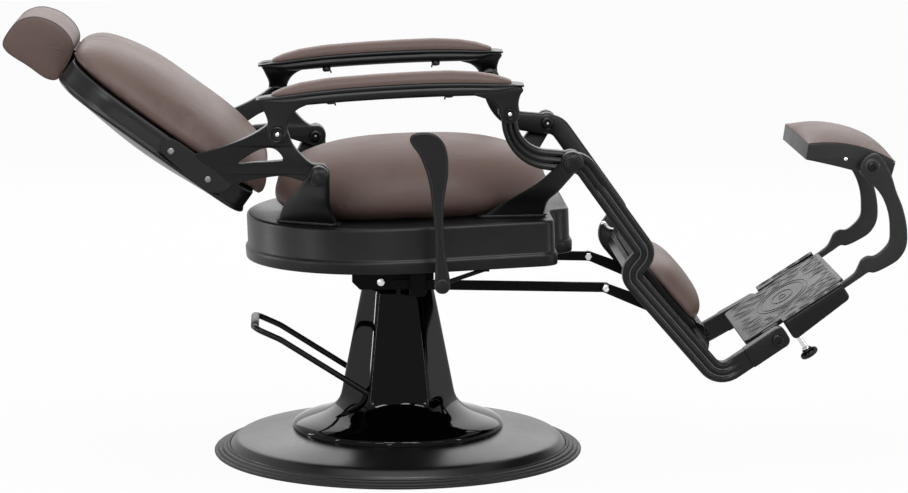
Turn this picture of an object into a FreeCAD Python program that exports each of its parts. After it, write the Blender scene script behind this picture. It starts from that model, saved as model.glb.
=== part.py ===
import FreeCAD, Part
import math
import os

# Barber chair with a hydraulic base, a reclining back and a linked leg rest, in millimetres.
# +X is the chair's front, +Z is up, and the origin is the middle of the base on the floor.
# The rest pose is fully reclined at the lowest seat height. Right is -Y and left is +Y.
# Pieces with a left and a right copy are drawn on the +Y side and mirrored.

V = FreeCAD.Vector
ORIGIN = V(0, 0, 0)
Y_AXIS = V(0, 1, 0)
Z_AXIS = V(0, 0, 1)
TINY = 1e-6
FAR = 2000.0
FILLET_SHARE = 0.45

# Fits and gaps
RUN_FIT = 0.05
OPEN_PIVOT_FIT = 1.6
SLIDE_GAP = 0.3
SOFT_GAP = 0.3
LAYER_GAP = 4.0

# Base: plate, rubber trim and column cover
BASE_RADIUS = 340.0
TRIM_WIDTH = 28.0
TRIM_STEP = 4.0
TRIM_STEPS = 3
TRIM_FLAT = 6.0
TRIM_LIP = 1.2
TRIM_FOOT = 12.0
TRIM_HEIGHT = 15.0
PLATE_LIFT = 4.0
PLATE_THICK = 8.0
PLATE_TOP = 30.0
PLATE_EDGE_HEIGHT = 20.0
PLATE_ROUND = 5.0
PLATE_PAD_RADIUS = 44.0
FLANGE_RADIUS = 191.0
FLANGE_EDGE = 14.0
FLANGE_RISE = 42.0
BELL_RIM = [(0.0, -4.0), (5.0, 0.0), (22.0, 8.0), (50.0, 19.0)]
BELL_NECK = [(28.0, -12.0), (16.0, 0.0), (-7.0, 22.0)]
COVER_TOP = 312.0
COVER_FOOT = 88.0
COVER_FOOT_FLATS = 191.0
COVER_TOP_FLATS = 117.0
COVER_FOOT_CORNER = 10.0
COVER_TOP_CORNER = 23.0
COVER_WALL = 6.0
COVER_BORE_RISE = 4.0
COVER_SIDES = 6

# Pump, ram and pedal
PUMP_RADIUS = 44.0
PUMP_FLANGE_RADIUS = 78.0
PUMP_FLANGE_THICK = 12.0
PUMP_TOP = 298.0
GLAND_HEIGHT = 9.0
RAM_RADIUS = 30.0
RAM_FOOT_GAP = 8.0
RAM_FLANGE_RADIUS = 46.0
RAM_FLANGE_THICK = 8.0
RAM_FLANGE_GAP = 3.0
RAM_SPIGOT_RADIUS = 24.0
RAM_SPIGOT_HEIGHT = 60.0
SPIGOT_END_GAP = 3.0
WASHER_THICK = 3.0
PUMP_BOLT_RADIUS = 5.0
PUMP_BOLT_HEAD = 9.0
PUMP_BOLT_HEAD_THICK = 6.0
PUMP_BOLT_START = 45.0
PUMP_BOLT_COUNT = 4
PEDAL_ROD_RADIUS = 5.5
PEDAL_HALF_WIDTH = 75.0
PEDAL_PIVOT = (0.0, 83.0)
PEDAL_KINK = (-217.0, 222.0)
PEDAL_TIP = (-263.0, 243.0)
PEDAL_KINK_RADIUS = 40.0
PEDAL_CORNER_RADIUS = 16.0
PEDAL_EYE_RADIUS = 13.0
PEDAL_EYE_WIDTH = 13.0
PEDAL_PIN_RADIUS = 7.0
TRUNNION_MARGIN = 1.0
PEDAL_GRIP_RADIUS = 7.5
PEDAL_GRIP_LENGTH = 104.0
PEDAL_SLOT_GAP = 3.0
PEDAL_SLOT_LOW = 44.0
PEDAL_SLOT_HIGH = 8.0
PEDAL_SLOT_END = 18.0

# Seat: pan, support and cushion. The seat leans back by SEAT_TILT.
SEAT_TILT = 2.0
PAN_TOP = 457.0
PAN_HEIGHT = 81.0
PAN_RADIUS = 285.0
PAN_WALL = 5.0
PAN_DECK = 8.0
PAN_EDGE_RADIUS = 5.0
PAN_BAND_HEIGHT = 22.0
PAN_BAND_STEP = 4.0
PAN_MIDDLE = 8.0
PAN_CORNER = (270.0, 262.0)
PAN_CORNER_RADIUS = 24.0
PAN_NOTCH_Y = 140.0
PAN_NOTCH_RADIUS = 14.0
PAN_NOSE = (307.0, 126.0)
PAN_NOSE_RADIUS = 38.0
RAIL_INNER = 100.0
RAIL_WIDTH = 40.0
RAIL_LENGTH = 400.0
RAIL_WALL = 4.0
RAIL_HEIGHT = 65.0
SUPPORT_CHEEK_FACE = 112.0
SUPPORT_CHEEK_THICK = 14.0
SUPPORT_CHEEK_BACK = -86.0
SUPPORT_CHEEK_FRONT = 62.0
SUPPORT_CHEEK_LOW = 319.0
SUPPORT_CHEEK_CHAMFER = 14.0
SUPPORT_PLATE_THICK = 12.0
SUPPORT_PLATE_LENGTH = 250.0
SUPPORT_TOP_SPARE = 20.0
SUPPORT_HUB_RADIUS = 58.0
SUPPORT_BOLT_RADIUS = 4.0
SUPPORT_BOLT_HEAD = 8.0
SUPPORT_BOLT_HEAD_THICK = 5.0
SUPPORT_BOLT_PLACES = [(-34.0, 333.0), (34.0, 333.0)]
CUSHION_LENGTH = 508.0
CUSHION_WIDTH = 440.0
CUSHION_HEIGHT = 127.0
CUSHION_MIDDLE = 26.0

# Crowned cushions. A squareness of 2 is an ellipse in plan, and the shares are of the plan and the height
SEAT_CROWN_SQUARENESS = 2.45
SEAT_CROWN_SHARES = [
    (0.83, 0.0), (0.92, 0.085), (0.99, 0.25), (0.962, 0.46),
    (0.84, 0.71), (0.6, 0.9), (0.3, 0.983), (0.1, 0.998)]
BACK_CROWN_SQUARENESS = 4.0
BACK_CROWN_SHARES = [
    (0.96, 0.0), (1.0, 0.11), (0.955, 0.405), (0.79, 0.708), (0.5, 0.928), (0.25, 0.99), (0.1, 0.998)]
CROWN_POINT_COUNT = 16

# Side pivots as (x, z), measured at rest
REAR_PIVOT = (-147.0, 553.0)
ARM_REAR_PIVOT = (-219.0, 629.0)
ARM_FRONT_PIVOT_X = 186.0
ARM_FRONT_PIVOT_RISE = 33.0
FRONT_PIVOT = (296.0, 575.0)
FOOT_PIVOT = (680.0, 233.0)
STRUT_PIVOT = (455.0, 296.0)
GUIDE_PIVOT = (30.0, 338.9)
LEVER_PIVOT = (67.0, 364.0)

# Side layers, as distances from the middle plane, and the pins through them
INNER_FACE = 264.0
INNER_THICK = 28.0
OUTER_THICK = 22.0
PIN_RADIUS = 8.0
PIN_HEAD_RADIUS = 15.0
PIN_HEAD_THICK = 7.0
PIN_NUT_RADIUS = 12.0
PIN_NUT_THICK = 7.0
BOSS_RADIUS = 18.0

# Lugs that carry the back and the leg rest
LUG_THICK = 13.0
LUG_NECK_LENGTH = 28.0
LUG_NECK_SHARE = 0.82
LUG_FOOT_SINK = 12.0
LUG_FOOT_THICK = 6.0
LUG_FOOT_WIDTH = 26.0
LUG_FOOT_MARGIN = 16.0
LUG_SCREW_RADIUS = 3.0
LUG_SCREW_HEAD = 6.0
LUG_SCREW_HEAD_THICK = 3.0
REAR_LUG_FOOT = [(-210.0, 148.0), (-118.0, 220.0)]
FRONT_LUG_FOOT = [(150.0, 200.0), (246.0, 212.0)]

# Back, in its own frame: x up the back from the rear pivot, z out of its front
BACK_ANGLE = 36.2
BACK_LOW = 68.0
BACK_HIGH = 462.0
BACK_HALF_WIDTH = 250.0
BACK_FRONT = -102.5
BACK_SIDE_DEPTH = 39.0
BACK_BULGE = 31.0
BACK_WALL = 6.0
BACK_TOP_CORNER = 105.0
BACK_LOW_CORNER = 55.0
BACK_BOARD_THICK = 6.0
BACK_CUSHION_INSET = 9.0
BACK_CUSHION_OVERHANG = 16.0
BACK_CUSHION_HEIGHT = 85.0
BRACKET_PLATE_THICK = 20.0
BRACKET_PLATE_RADIUS = 17.0
BRACKET_ARM_RADIUS = 15.0
BRACKET_ARM_STEP = 2.0
BRACKET_FORK_RADIUS = 14.0
BRACKET_ROOT_SHIFT = 14.0
BRACKET_ROOT = (-318.0, 567.0)
BRACKET_ROOT_RADIUS = 25.0
BRACKET_FORK = (-240.0, 562.0)
BRACKET_BOLTS = [(-405.0, 593.5), (-341.0, 543.0)]
BRACKET_BOLT_RADIUS = 4.0
BRACKET_BOLT_HEAD = 9.0
BRACKET_BOLT_HEAD_THICK = 6.0

# Headrest, in the back's frame
HEAD_LENGTH = 118.0
HEAD_HALF_WIDTH = 104.0
HEAD_REAR = -163.0
HEAD_HEIGHT = 91.0
HEAD_CORNER = 30.0
HEAD_EDGE = 26.0
HEAD_BOARD_THICK = 6.0
HEAD_BOARD_MARGIN = 22.0
HEAD_GAP = 3.0
POST_RADIUS = 6.0
POST_HALF_SPACING = 45.0
POST_LENGTH = 175.0
POST_LEVEL = -120.0
SOCKET_LENGTH = 80.0
SOCKET_HEIGHT = 26.0
SOCKET_MARGIN = 14.0

# Armrests
ARM_MIDDLE = 290.0
ARM_HALF_WIDTH = 31.0
ARM_BACK_X = -256.0
ARM_FRONT_X = 212.0
ARM_RISE = 68.0
ARM_SLOPE = 2.9
ARM_THICK = 27.0
ARM_EDGE = 9.0
ARM_TIP_RADIUS = 22.0
ARM_LEG_RADIUS = 17.0
ARM_REAR_KNEE_X = -216.0
ARM_REAR_KNEE_RISE = 47.0
ARM_REAR_KNEE_RADIUS = 24.0
ARM_FRONT_KNEE_X = 174.0
ARM_FRONT_KNEE_RISE = 31.0
ARM_FRONT_KNEE_RADIUS = 20.0
ARM_PAD_INSET = 16.0
ARM_PAD_HALF_WIDTH = 26.0
ARM_PAD_HEIGHT = 18.0
ARM_PAD_CORNER = 20.0
ARM_PAD_EDGE = 7.0
ARM_SCREW_INSET = 110.0
ARM_SCREW_RADIUS = 3.0
ARM_SCREW_HEAD = 6.0
ARM_SCREW_HEAD_THICK = 5.0

# Leg rest: the side castings follow these corners, and toe in below the front pivot
LEG_UPPER_CORNERS = [(193.0, 584.0), (316.0, 570.0)]
LEG_LOWER_CORNERS = [(435.0, 404.0), (404.0, 364.0), (573.0, 167.0)]
LEG_RADII = [72.0, 32.0, 24.0, 24.0, 36.0]
LEG_WIDTH = 37.0
LEG_RIDGE = 4.0
LEG_ROUND = 4.0
LEG_FOOT_Y = 172.0
LEG_FOOT_BOSS = 20.0
LEG_SPOT_FACE = 1.5
LEG_FRONT_BOSS = 22.0
CROSS_BAR_PLACES = [24.0, 188.0]
CROSS_BAR_WIDTH = 20.0
CROSS_BAR_THICK = 14.0
CROSS_BAR_SEAT = 6.0
PANEL_LEVEL = 8.0
PANEL_THICK = 8.0
PANEL_HIGH = 2.0
PANEL_LOW = 206.0
PANEL_SIDE_GAP = 8.0
PANEL_HOLE_RADIUS = 6.5
PANEL_HOLE_PITCH = 26.0
PANEL_HOLE_ROWS = [164.0, 190.0]
SHIN_PAD_LENGTH = 140.0
SHIN_PAD_HALF_WIDTH = 192.0
SHIN_PAD_HEIGHT = 52.0
SHIN_PAD_HIGH = 8.0
SHIN_PAD_CORNER = 30.0
SHIN_PAD_EDGE = 22.0

# Lock struts, their guides and the lever
STRUT_FACE = 172.0
STRUT_THICK = 8.0
STRUT_HALF_HEIGHT = 8.5
STRUT_TAIL_X = -8.0
STRUT_KNEE = (368.0, 331.0)
STRUT_EYE_RADIUS = 11.0
STRUT_PIN_RADIUS = 6.0
STRUT_PIN_SEAT = 8.0
STRUT_PIN_SPARE = 3.0
STRUT_COLLAR_RADIUS = 9.0
STRUT_COLLAR_LENGTH = 14.0
KNEE_BOLT_RADIUS = 4.0
KNEE_BOLT_HEAD = 7.0
KNEE_BOLT_HEAD_THICK = 5.0
GUIDE_HALF_LENGTH = 14.0
GUIDE_WALL = 8.0
GUIDE_PLAY = 3.0
GUIDE_SIDE_WALL = 10.0
GUIDE_SIDE_GAP = 1.0
GUIDE_PIN_RADIUS = 6.0
GUIDE_CHEEK_THICK = 8.0
GUIDE_CHEEK_HALF = 13.0
GUIDE_BRACKET_RISE = 14.0
LEVER_FACE = 336.0
LEVER_THICK = 11.0
LEVER_HUB_RADIUS = 14.0
LEVER_STEM = [((60.0, 476.0), 6.2), ((56.0, 540.0), 10.5), ((56.0, 586.0), 17.5), ((44.0, 609.0), 25.0)]
LEVER_SHAFT_RADIUS = 7.0
BRACE_FACE = 316.0
BRACE_EYE_WIDTH = 12.0
BRACE_EYE_RADIUS = 12.0
BRACE_ROD_RADIUS = 4.0
BRACE_PAD_X = 142.0
BRACE_PAD_Y = 258.0
BRACE_PAD_SIZE = 18.0
BRACE_PAD_THICK = 5.0

# Footrest, in its own frame: x up the plate from the foot pivot, z out of its top
FOOT_SLOPE = 33.0
FOOT_LEVEL = 21.5
FOOT_THICK = 9.0
FOOT_BACK = -52.0
FOOT_FRONT = 160.0
FOOT_HALF_WIDTH = 147.0
FOOT_CORNER = 10.0
FOOT_EAR_RADIUS = 17.0
FOOT_EAR_THICK = 14.0
FOOT_EAR_GAP = 1.2
FOOT_EAR_STEP = 2.0
FOOT_BOLT_RADIUS = 7.0
FOOT_BOLT_HEAD = 11.0
FOOT_BOLT_HEAD_THICK = 6.0
TREAD_RIB = 5.0
TREAD_HEIGHT = 2.0
TREAD_PITCH = 19.0
TREAD_MARGIN = 14.0
TREAD_RING = (62.0, 44.0, 5.0)
BLOCK_BACK = 26.0
BLOCK_FRONT = 152.0
BLOCK_WALL = 20.0
BLOCK_LOW_BACK = -19.0
BLOCK_LOW_FRONT = -9.0
BLOCK_FLOOR = 6.0
TONGUE_REACH = 24.0
TONGUE_START = 40.0
TONGUE_THICK = 4.5
RISER_LENGTH = 40.0

# Heel rest, in the footrest's frame
HEEL_ARM_THICK = 14.0
HEEL_ARM_GAP = 3.0
HEEL_ARM_WIDTH = 22.0
HEEL_ARM_START = 29.0
HEEL_ARM_CORNER = (291.0, 0.0)
HEEL_ARM_RADIUS = 42.0
HEEL_PIVOT_LOCAL = (312.5, 169.0)
HEEL_BOSS_RADIUS = 14.0
HEEL_BOLT_RADIUS = 5.0
HEEL_BOLT_HEAD = 9.0
HEEL_BOLT_HEAD_THICK = 5.0
HEEL_BOLT_REACH = 26.0
HEEL_BORE_SPARE = 2.0
HEEL_TIE_WIDTH = 20.0
HEEL_TIE_THICK = 5.0
HEEL_TIE_START = 34.0

# Heel tray and pad, in the heel rest's frame from the heel pivot
TRAY_HALF_WIDTH = 147.0
TRAY_BOTTOM = [(-118.0, 11.0), (-41.0, -7.0), (36.0, -29.0)]
TRAY_TOP = [(-114.0, 39.0), (-45.0, 38.5), (45.0, 5.0)]
HEEL_PAD_CROWN = [(-106.0, 57.0), (-48.0, 68.0), (38.0, 32.0)]
HEEL_PAD_INSET = 4.0

# Latch plunger
PLUNGER_X = 36.0
PLUNGER_RADIUS = 5.0
PLUNGER_REACH = 54.0
KNOB_RADIUS = 17.0
KNOB_HEIGHT = 16.0
KNOB_EDGE = 4.0

# Worked-out places
OUTER_FACE = INNER_FACE + INNER_THICK + LAYER_GAP
INNER_END = INNER_FACE + INNER_THICK
OUTER_END = OUTER_FACE + OUTER_THICK
LEG_PATH_Y = INNER_FACE + INNER_THICK / 2
PLATE_RADIUS = BASE_RADIUS - TRIM_WIDTH
RAM_FLANGE_LOW = COVER_TOP + RAM_FLANGE_GAP
WASHER_LOW = RAM_FLANGE_LOW + RAM_FLANGE_THICK
HUB_LOW = WASHER_LOW + WASHER_THICK + SLIDE_GAP
PAN_LOW = PAN_TOP - PAN_HEIGHT
RAIL_LOW = PAN_TOP - PAN_DECK - RAIL_HEIGHT
ARM_FRONT_PIVOT = (ARM_FRONT_PIVOT_X, ARM_REAR_PIVOT[1] + ARM_FRONT_PIVOT_RISE)
ARM_LEVEL = ARM_REAR_PIVOT[1] + ARM_RISE
ARM_REAR_KNEE = (ARM_REAR_KNEE_X, ARM_REAR_PIVOT[1] + ARM_REAR_KNEE_RISE)
ARM_FRONT_KNEE = (ARM_FRONT_KNEE_X, ARM_FRONT_PIVOT[1] + ARM_FRONT_KNEE_RISE)
ARM_PAD_LENGTH = ARM_FRONT_X - ARM_BACK_X - 3 * ARM_PAD_INSET
HEEL_ARM_FACE = FOOT_HALF_WIDTH + HEEL_ARM_GAP
HEEL_ARM_LEVEL = BLOCK_FLOOR + SLIDE_GAP + HEEL_ARM_WIDTH / 2
BLOCK_FACE = HEEL_ARM_FACE + HEEL_ARM_THICK + SLIDE_GAP
PLUNGER_Y = HEEL_ARM_FACE + HEEL_ARM_THICK / 2
PANEL_BASE = PANEL_LEVEL - CROSS_BAR_THICK


# General shapes

def mirrored(shape):
    """The same shape on the other side of the chair."""
    return shape.mirror(ORIGIN, Y_AXIS)


def box(x_range, y_range, z_range):
    """Box between pairs of limits."""
    size = [limits[1] - limits[0] for limits in (x_range, y_range, z_range)]
    return Part.makeBox(*size, V(x_range[0], y_range[0], z_range[0]))


def disc(centre, radius, y_start, y_end):
    """Round piece across the chair, with its axis along Y."""
    return Part.makeCylinder(radius, y_end - y_start, V(centre[0], y_start, centre[1]), Y_AXIS)


def upright(radius, z_start, z_end, x=0.0, y=0.0):
    """Cylinder with its axis along Z."""
    return Part.makeCylinder(radius, z_end - z_start, V(x, y, z_start))


def turned(profile):
    """Solid of revolution about Z of (radius, z) points."""
    points = [V(radius, 0, z) for radius, z in profile]
    face = Part.Face(Part.makePolygon(points + points[:1]))
    return face.revolve(ORIGIN, Z_AXIS, 360)


def slab(points, y_start, y_end):
    """Straight-edged plate with an outline of (x, z) points."""
    outline = [V(x, y_start, z) for x, z in points]
    return Part.Face(Part.makePolygon(outline + outline[:1])).extrude(V(0, y_end - y_start, 0))


def link(start, start_radius, end, end_radius, y_start, y_end):
    """Plate with two round ends joined by their tangent lines."""
    dx, dz = end[0] - start[0], end[1] - start[1]
    along = math.atan2(dz, dx)
    lean = math.acos((start_radius - end_radius) / math.hypot(dx, dz))

    def rim(centre, radius, angle):
        return V(centre[0] + radius * math.cos(angle), y_start, centre[1] + radius * math.sin(angle))

    low, high = along - lean, along + lean
    edges = [
        Part.makeLine(rim(start, start_radius, low), rim(end, end_radius, low)),
        Part.Arc(rim(end, end_radius, low), rim(end, end_radius, along),
                 rim(end, end_radius, high)).toShape(),
        Part.makeLine(rim(end, end_radius, high), rim(start, start_radius, high)),
        Part.Arc(rim(start, start_radius, high), rim(start, start_radius, along + math.pi),
                 rim(start, start_radius, low)).toShape(),
    ]
    return Part.Face(Part.Wire(edges)).extrude(V(0, y_end - y_start, 0))


def corner_arc(before, corner, after, radius):
    """Start, middle and end of the tangent arc that rounds a corner."""
    back = (before - corner).normalize()
    forth = (after - corner).normalize()
    half_angle = back.getAngle(forth) / 2
    reach = radius / math.tan(half_angle)
    inward = (back + forth).normalize()
    middle = corner + inward * (radius / math.sin(half_angle) - radius)
    return corner + back * reach, middle, corner + forth * reach


def rounded_wire(points, radii, closed=True):
    """Wire of straight runs joined by tangent arcs. A radius of 0 keeps the corner sharp."""
    count = len(points)
    turns = []
    for index, (point, radius) in enumerate(zip(points, radii)):
        if radius:
            after = points[(index + 1) % count]
            turns.append(corner_arc(points[index - 1], point, after, radius))
        else:
            turns.append((point, point, point))
    edges = []
    for index, (start, middle, end) in enumerate(turns):
        if (start - end).Length > TINY:
            edges.append(Part.Arc(start, middle, end).toShape())
        if closed or index < count - 1:
            target = turns[(index + 1) % count][0]
            if (target - end).Length > TINY:
                edges.append(Part.makeLine(end, target))
    return Part.Wire(edges)


def swept(profile, path):
    """Solid of a profile carried along a path, with the profile's side kept along Y."""
    shell = Part.BRepOffsetAPI.MakePipeShell(path)
    shell.setBiNormalMode(Y_AXIS)
    shell.add(profile)
    shell.build()
    shell.makeSolid()
    return shell.shape()


def cushion(length, width, height, corner, edge):
    """Soft block, centred in plan, with its base at z = 0."""
    block = Part.makeBox(length, width, height, V(-length / 2, -width / 2, 0))
    posts = [item for item in block.Edges if item.BoundBox.ZLength > height / 2]
    block = block.makeFillet(min(corner, FILLET_SHARE * min(length, width)), posts)
    rims = [item for item in block.Edges if item.BoundBox.ZLength < TINY]
    return block.makeFillet(min(edge, FILLET_SHARE * height), rims)


def domed(length, width, height, squareness, crown):
    """Crowned cushion, centred in plan, with its base at z = 0."""
    sections = []
    for share, rise in crown:
        points = []
        for step in range(CROWN_POINT_COUNT):
            turn = 2 * math.pi * step / CROWN_POINT_COUNT
            along = math.copysign(abs(math.cos(turn)) ** (2 / squareness), math.cos(turn))
            across = math.copysign(abs(math.sin(turn)) ** (2 / squareness), math.sin(turn))
            points.append(V(along * share * length / 2, across * share * width / 2, rise * height))
        outline = Part.BSplineCurve()
        outline.interpolate(Points=points, PeriodicFlag=True)
        sections.append(Part.Wire(outline.toShape()))
    return Part.makeLoft(sections, True)


def tilted(shape):
    """Place a level seat shape at the seat's tilt."""
    return shape.rotate(V(0, 0, PAN_TOP), Y_AXIS, -SEAT_TILT)


def in_back(shape):
    """Place a shape drawn in the back's frame."""
    shape.rotate(ORIGIN, Z_AXIS, 180)
    shape.rotate(ORIGIN, Y_AXIS, BACK_ANGLE)
    return shape.translate(V(REAR_PIVOT[0], 0, REAR_PIVOT[1]))


def in_leg(shape):
    """Place a shape drawn along the lower run of the leg rest, z out of its front."""
    high, low = LEG_LOWER_CORNERS[1:]
    slope = math.degrees(math.atan2(high[1] - low[1], low[0] - high[0]))
    shape.rotate(ORIGIN, Y_AXIS, slope)
    return shape.translate(V(high[0], 0, high[1]))


def in_foot(shape):
    """Place a shape drawn in the footrest's frame."""
    shape.rotate(ORIGIN, Y_AXIS, -FOOT_SLOPE)
    return shape.translate(V(FOOT_PIVOT[0], 0, FOOT_PIVOT[1]))


def pin(centre, radius, y_start, y_end, head_radius, head_thick):
    """Pin across the chair with a round head at its outer end."""
    shank = disc(centre, radius, y_start, y_end)
    return shank.fuse(disc(centre, head_radius, y_end, y_end + head_thick)).removeSplitter()


def pair(shape):
    """A shape and its mirror image as separate solids of one node."""
    return Part.makeCompound(shape.Solids + mirrored(shape).Solids)


def sides(parts, name, shape):
    """Add the left and right copies of a shape."""
    parts[name + "_left"] = shape
    parts[name + "_right"] = mirrored(shape)


# Base

def base_plate():
    """Dished plate with a thin wall, open underneath, with a pad at its middle."""
    low = PLATE_TOP - PLATE_THICK
    rim = PLATE_RADIUS
    inner_rim = rim - TRIM_FOOT - PLATE_THICK
    step = PLATE_ROUND
    plate = turned([
        (0, 0), (0, PLATE_TOP), (FLANGE_RADIUS + step, PLATE_TOP), (rim - 3 * step, PLATE_EDGE_HEIGHT + step),
        (rim - step, PLATE_EDGE_HEIGHT), (rim, PLATE_EDGE_HEIGHT - step), (rim, PLATE_LIFT),
        (inner_rim, PLATE_LIFT), (inner_rim - step, PLATE_EDGE_HEIGHT - step), (FLANGE_RADIUS, low),
        (PLATE_PAD_RADIUS, low), (PLATE_PAD_RADIUS, 0),
    ])
    for hole in pump_bolt_places():
        plate = plate.cut(upright(PUMP_BOLT_RADIUS, 0, PLATE_TOP, hole[0], hole[1]))
    return plate


def pump_bolt_places():
    """Plan places of the bolts that hold the pump on the plate."""
    ring = (PUMP_RADIUS + PUMP_FLANGE_RADIUS) / 2
    step = 360 / PUMP_BOLT_COUNT
    turns = [math.radians(PUMP_BOLT_START + step * index) for index in range(PUMP_BOLT_COUNT)]
    return [(ring * math.cos(turn), ring * math.sin(turn)) for turn in turns]


def base_trim():
    """Rubber ring round the plate, stepped into ridges, with a foot under the plate's rim."""
    profile = [(PLATE_RADIUS - TRIM_FOOT, 0), (BASE_RADIUS, 0), (BASE_RADIUS, TRIM_STEP)]
    run = (TRIM_WIDTH - TRIM_FLAT) / TRIM_STEPS
    rise = (TRIM_HEIGHT - TRIM_STEP) / TRIM_STEPS
    for step in range(1, TRIM_STEPS + 1):
        radius = BASE_RADIUS - step * run
        height = TRIM_STEP + step * rise
        profile += [(radius, height - TRIM_LIP), (radius, height)]
    profile += [(PLATE_RADIUS, TRIM_HEIGHT), (PLATE_RADIUS, PLATE_LIFT)]
    profile += [(PLATE_RADIUS - TRIM_FOOT, PLATE_LIFT)]
    return turned(profile)


def hexagon(flats, corner, z):
    """Rounded regular outline with a flat side facing each side of the chair."""
    radius = flats / 2 / math.cos(math.pi / COVER_SIDES)
    turns = [2 * math.pi * index / COVER_SIDES for index in range(COVER_SIDES)]
    points = [V(radius * math.cos(turn), radius * math.sin(turn), z) for turn in turns]
    return rounded_wire(points, [corner] * COVER_SIDES)


def column_cover():
    """Faceted column on a bell-shaped flange, hollow, with two slots for the pedal's rods."""
    foot_radius = COVER_FOOT_FLATS / 2
    shoulder = PLATE_TOP + FLANGE_EDGE
    crown = shoulder + FLANGE_RISE
    rim = [(FLANGE_RADIUS - back, shoulder + rise) for back, rise in BELL_RIM]
    neck = [(foot_radius + out, crown + rise) for out, rise in BELL_NECK]
    bell = turned([(0, PLATE_TOP), (FLANGE_RADIUS, PLATE_TOP)] + rim + neck + [(0, neck[-1][1])])
    column = Part.makeLoft([hexagon(COVER_FOOT_FLATS, COVER_FOOT_CORNER, COVER_FOOT),
                            hexagon(COVER_TOP_FLATS, COVER_TOP_CORNER, COVER_TOP)], True, True)
    cover = bell.fuse(column)
    inner_foot = foot_radius - COVER_WALL
    inner_top = COVER_TOP_FLATS / 2 - COVER_WALL
    bore_top = COVER_FOOT + COVER_BORE_RISE
    cover = cover.cut(upright(inner_foot, PLATE_TOP, bore_top))
    cover = cover.cut(Part.makeCone(inner_foot, inner_top, COVER_TOP - bore_top, V(0, 0, bore_top)))
    half = PEDAL_ROD_RADIUS + PEDAL_SLOT_GAP
    climb = (PEDAL_KINK[1] - PEDAL_PIVOT[1]) / (PEDAL_PIVOT[0] - PEDAL_KINK[0])
    wall = math.sqrt(max(COVER_FOOT_FLATS ** 2 / 3 - PEDAL_HALF_WIDTH ** 2, half ** 2))
    entry = PEDAL_PIVOT[1] + wall * climb
    for side in (-1, 1):
        middle = side * PEDAL_HALF_WIDTH
        heights = (entry - PEDAL_SLOT_LOW, entry + PEDAL_SLOT_HIGH)
        cover = cover.cut(box((-FLANGE_RADIUS, -PEDAL_SLOT_END), (middle - half, middle + half), heights))
    return cover


def pump_cylinder():
    """Pump body with a foot flange and two trunnions for the pedal."""
    body = upright(PUMP_FLANGE_RADIUS, PLATE_TOP, PLATE_TOP + PUMP_FLANGE_THICK)
    body = body.fuse(upright(PUMP_RADIUS, PLATE_TOP, PUMP_TOP))
    reach = PEDAL_HALF_WIDTH + PEDAL_EYE_WIDTH / 2 + TRUNNION_MARGIN
    body = body.fuse(disc(PEDAL_PIVOT, PEDAL_PIN_RADIUS, -reach, reach))
    body = body.cut(upright(RAM_RADIUS + RUN_FIT, PLATE_TOP + PUMP_FLANGE_THICK, PUMP_TOP))
    for x, y in pump_bolt_places():
        body = body.cut(upright(PUMP_BOLT_RADIUS, PLATE_TOP, PLATE_TOP + PUMP_FLANGE_THICK, x, y))
    return body


def cylinder_gland():
    """Guide ring on the pump's mouth."""
    ring = upright(PUMP_RADIUS, PUMP_TOP, PUMP_TOP + GLAND_HEIGHT)
    return ring.cut(upright(RAM_RADIUS + RUN_FIT, PUMP_TOP, PUMP_TOP + GLAND_HEIGHT))


def pump_bolts():
    """Bolts from under the plate into the pump's flange."""
    low = PLATE_TOP - PLATE_THICK
    bolts = []
    for x, y in pump_bolt_places():
        shank = upright(PUMP_BOLT_RADIUS, low, PLATE_TOP + PUMP_FLANGE_THICK, x, y)
        head = upright(PUMP_BOLT_HEAD, low - PUMP_BOLT_HEAD_THICK, low, x, y)
        bolts.append(shank.fuse(head).removeSplitter())
    return Part.makeCompound(bolts)


def pedal_loop():
    """Bent rod with an eye on each trunnion."""
    ends = [(PEDAL_PIVOT, 1), (PEDAL_KINK, 1), (PEDAL_TIP, 1)]
    ends += [(place, -side) for place, side in reversed(ends)]
    route = [V(place[0], side * PEDAL_HALF_WIDTH, place[1]) for place, side in ends]
    radii = [0, PEDAL_KINK_RADIUS, PEDAL_CORNER_RADIUS, PEDAL_CORNER_RADIUS, PEDAL_KINK_RADIUS, 0]
    path = rounded_wire(route, radii, closed=False)
    circle = Part.makeCircle(PEDAL_ROD_RADIUS, route[0], route[1] - route[0])
    rod = Part.Wire(path).makePipeShell([Part.Wire(circle)], True, True)
    for side in (-1, 1):
        middle = side * PEDAL_HALF_WIDTH
        half = PEDAL_EYE_WIDTH / 2
        rod = rod.fuse(disc(PEDAL_PIVOT, PEDAL_EYE_RADIUS, middle - half, middle + half))
    return rod.cut(disc(PEDAL_PIVOT, PEDAL_PIN_RADIUS + RUN_FIT, -FAR, FAR))


def pedal_grip():
    """Sleeve on the pedal's tip."""
    half = PEDAL_GRIP_LENGTH / 2
    return disc(PEDAL_TIP, PEDAL_GRIP_RADIUS, -half, half).cut(disc(PEDAL_TIP, PEDAL_ROD_RADIUS, -half, half))


# Lift

def ram():
    """Piston rod with a flange and a spigot that the seat turns on."""
    foot = PLATE_TOP + PUMP_FLANGE_THICK + RAM_FOOT_GAP
    rod = upright(RAM_RADIUS, foot, RAM_FLANGE_LOW)
    rod = rod.fuse(upright(RAM_FLANGE_RADIUS, RAM_FLANGE_LOW, WASHER_LOW))
    return rod.fuse(upright(RAM_SPIGOT_RADIUS, WASHER_LOW, WASHER_LOW + RAM_SPIGOT_HEIGHT)).removeSplitter()


def thrust_washer():
    """Bearing washer under the seat's hub."""
    ring = upright(RAM_FLANGE_RADIUS, WASHER_LOW, WASHER_LOW + WASHER_THICK)
    return ring.cut(upright(RAM_SPIGOT_RADIUS, WASHER_LOW, WASHER_LOW + WASHER_THICK))


# Seat

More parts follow.
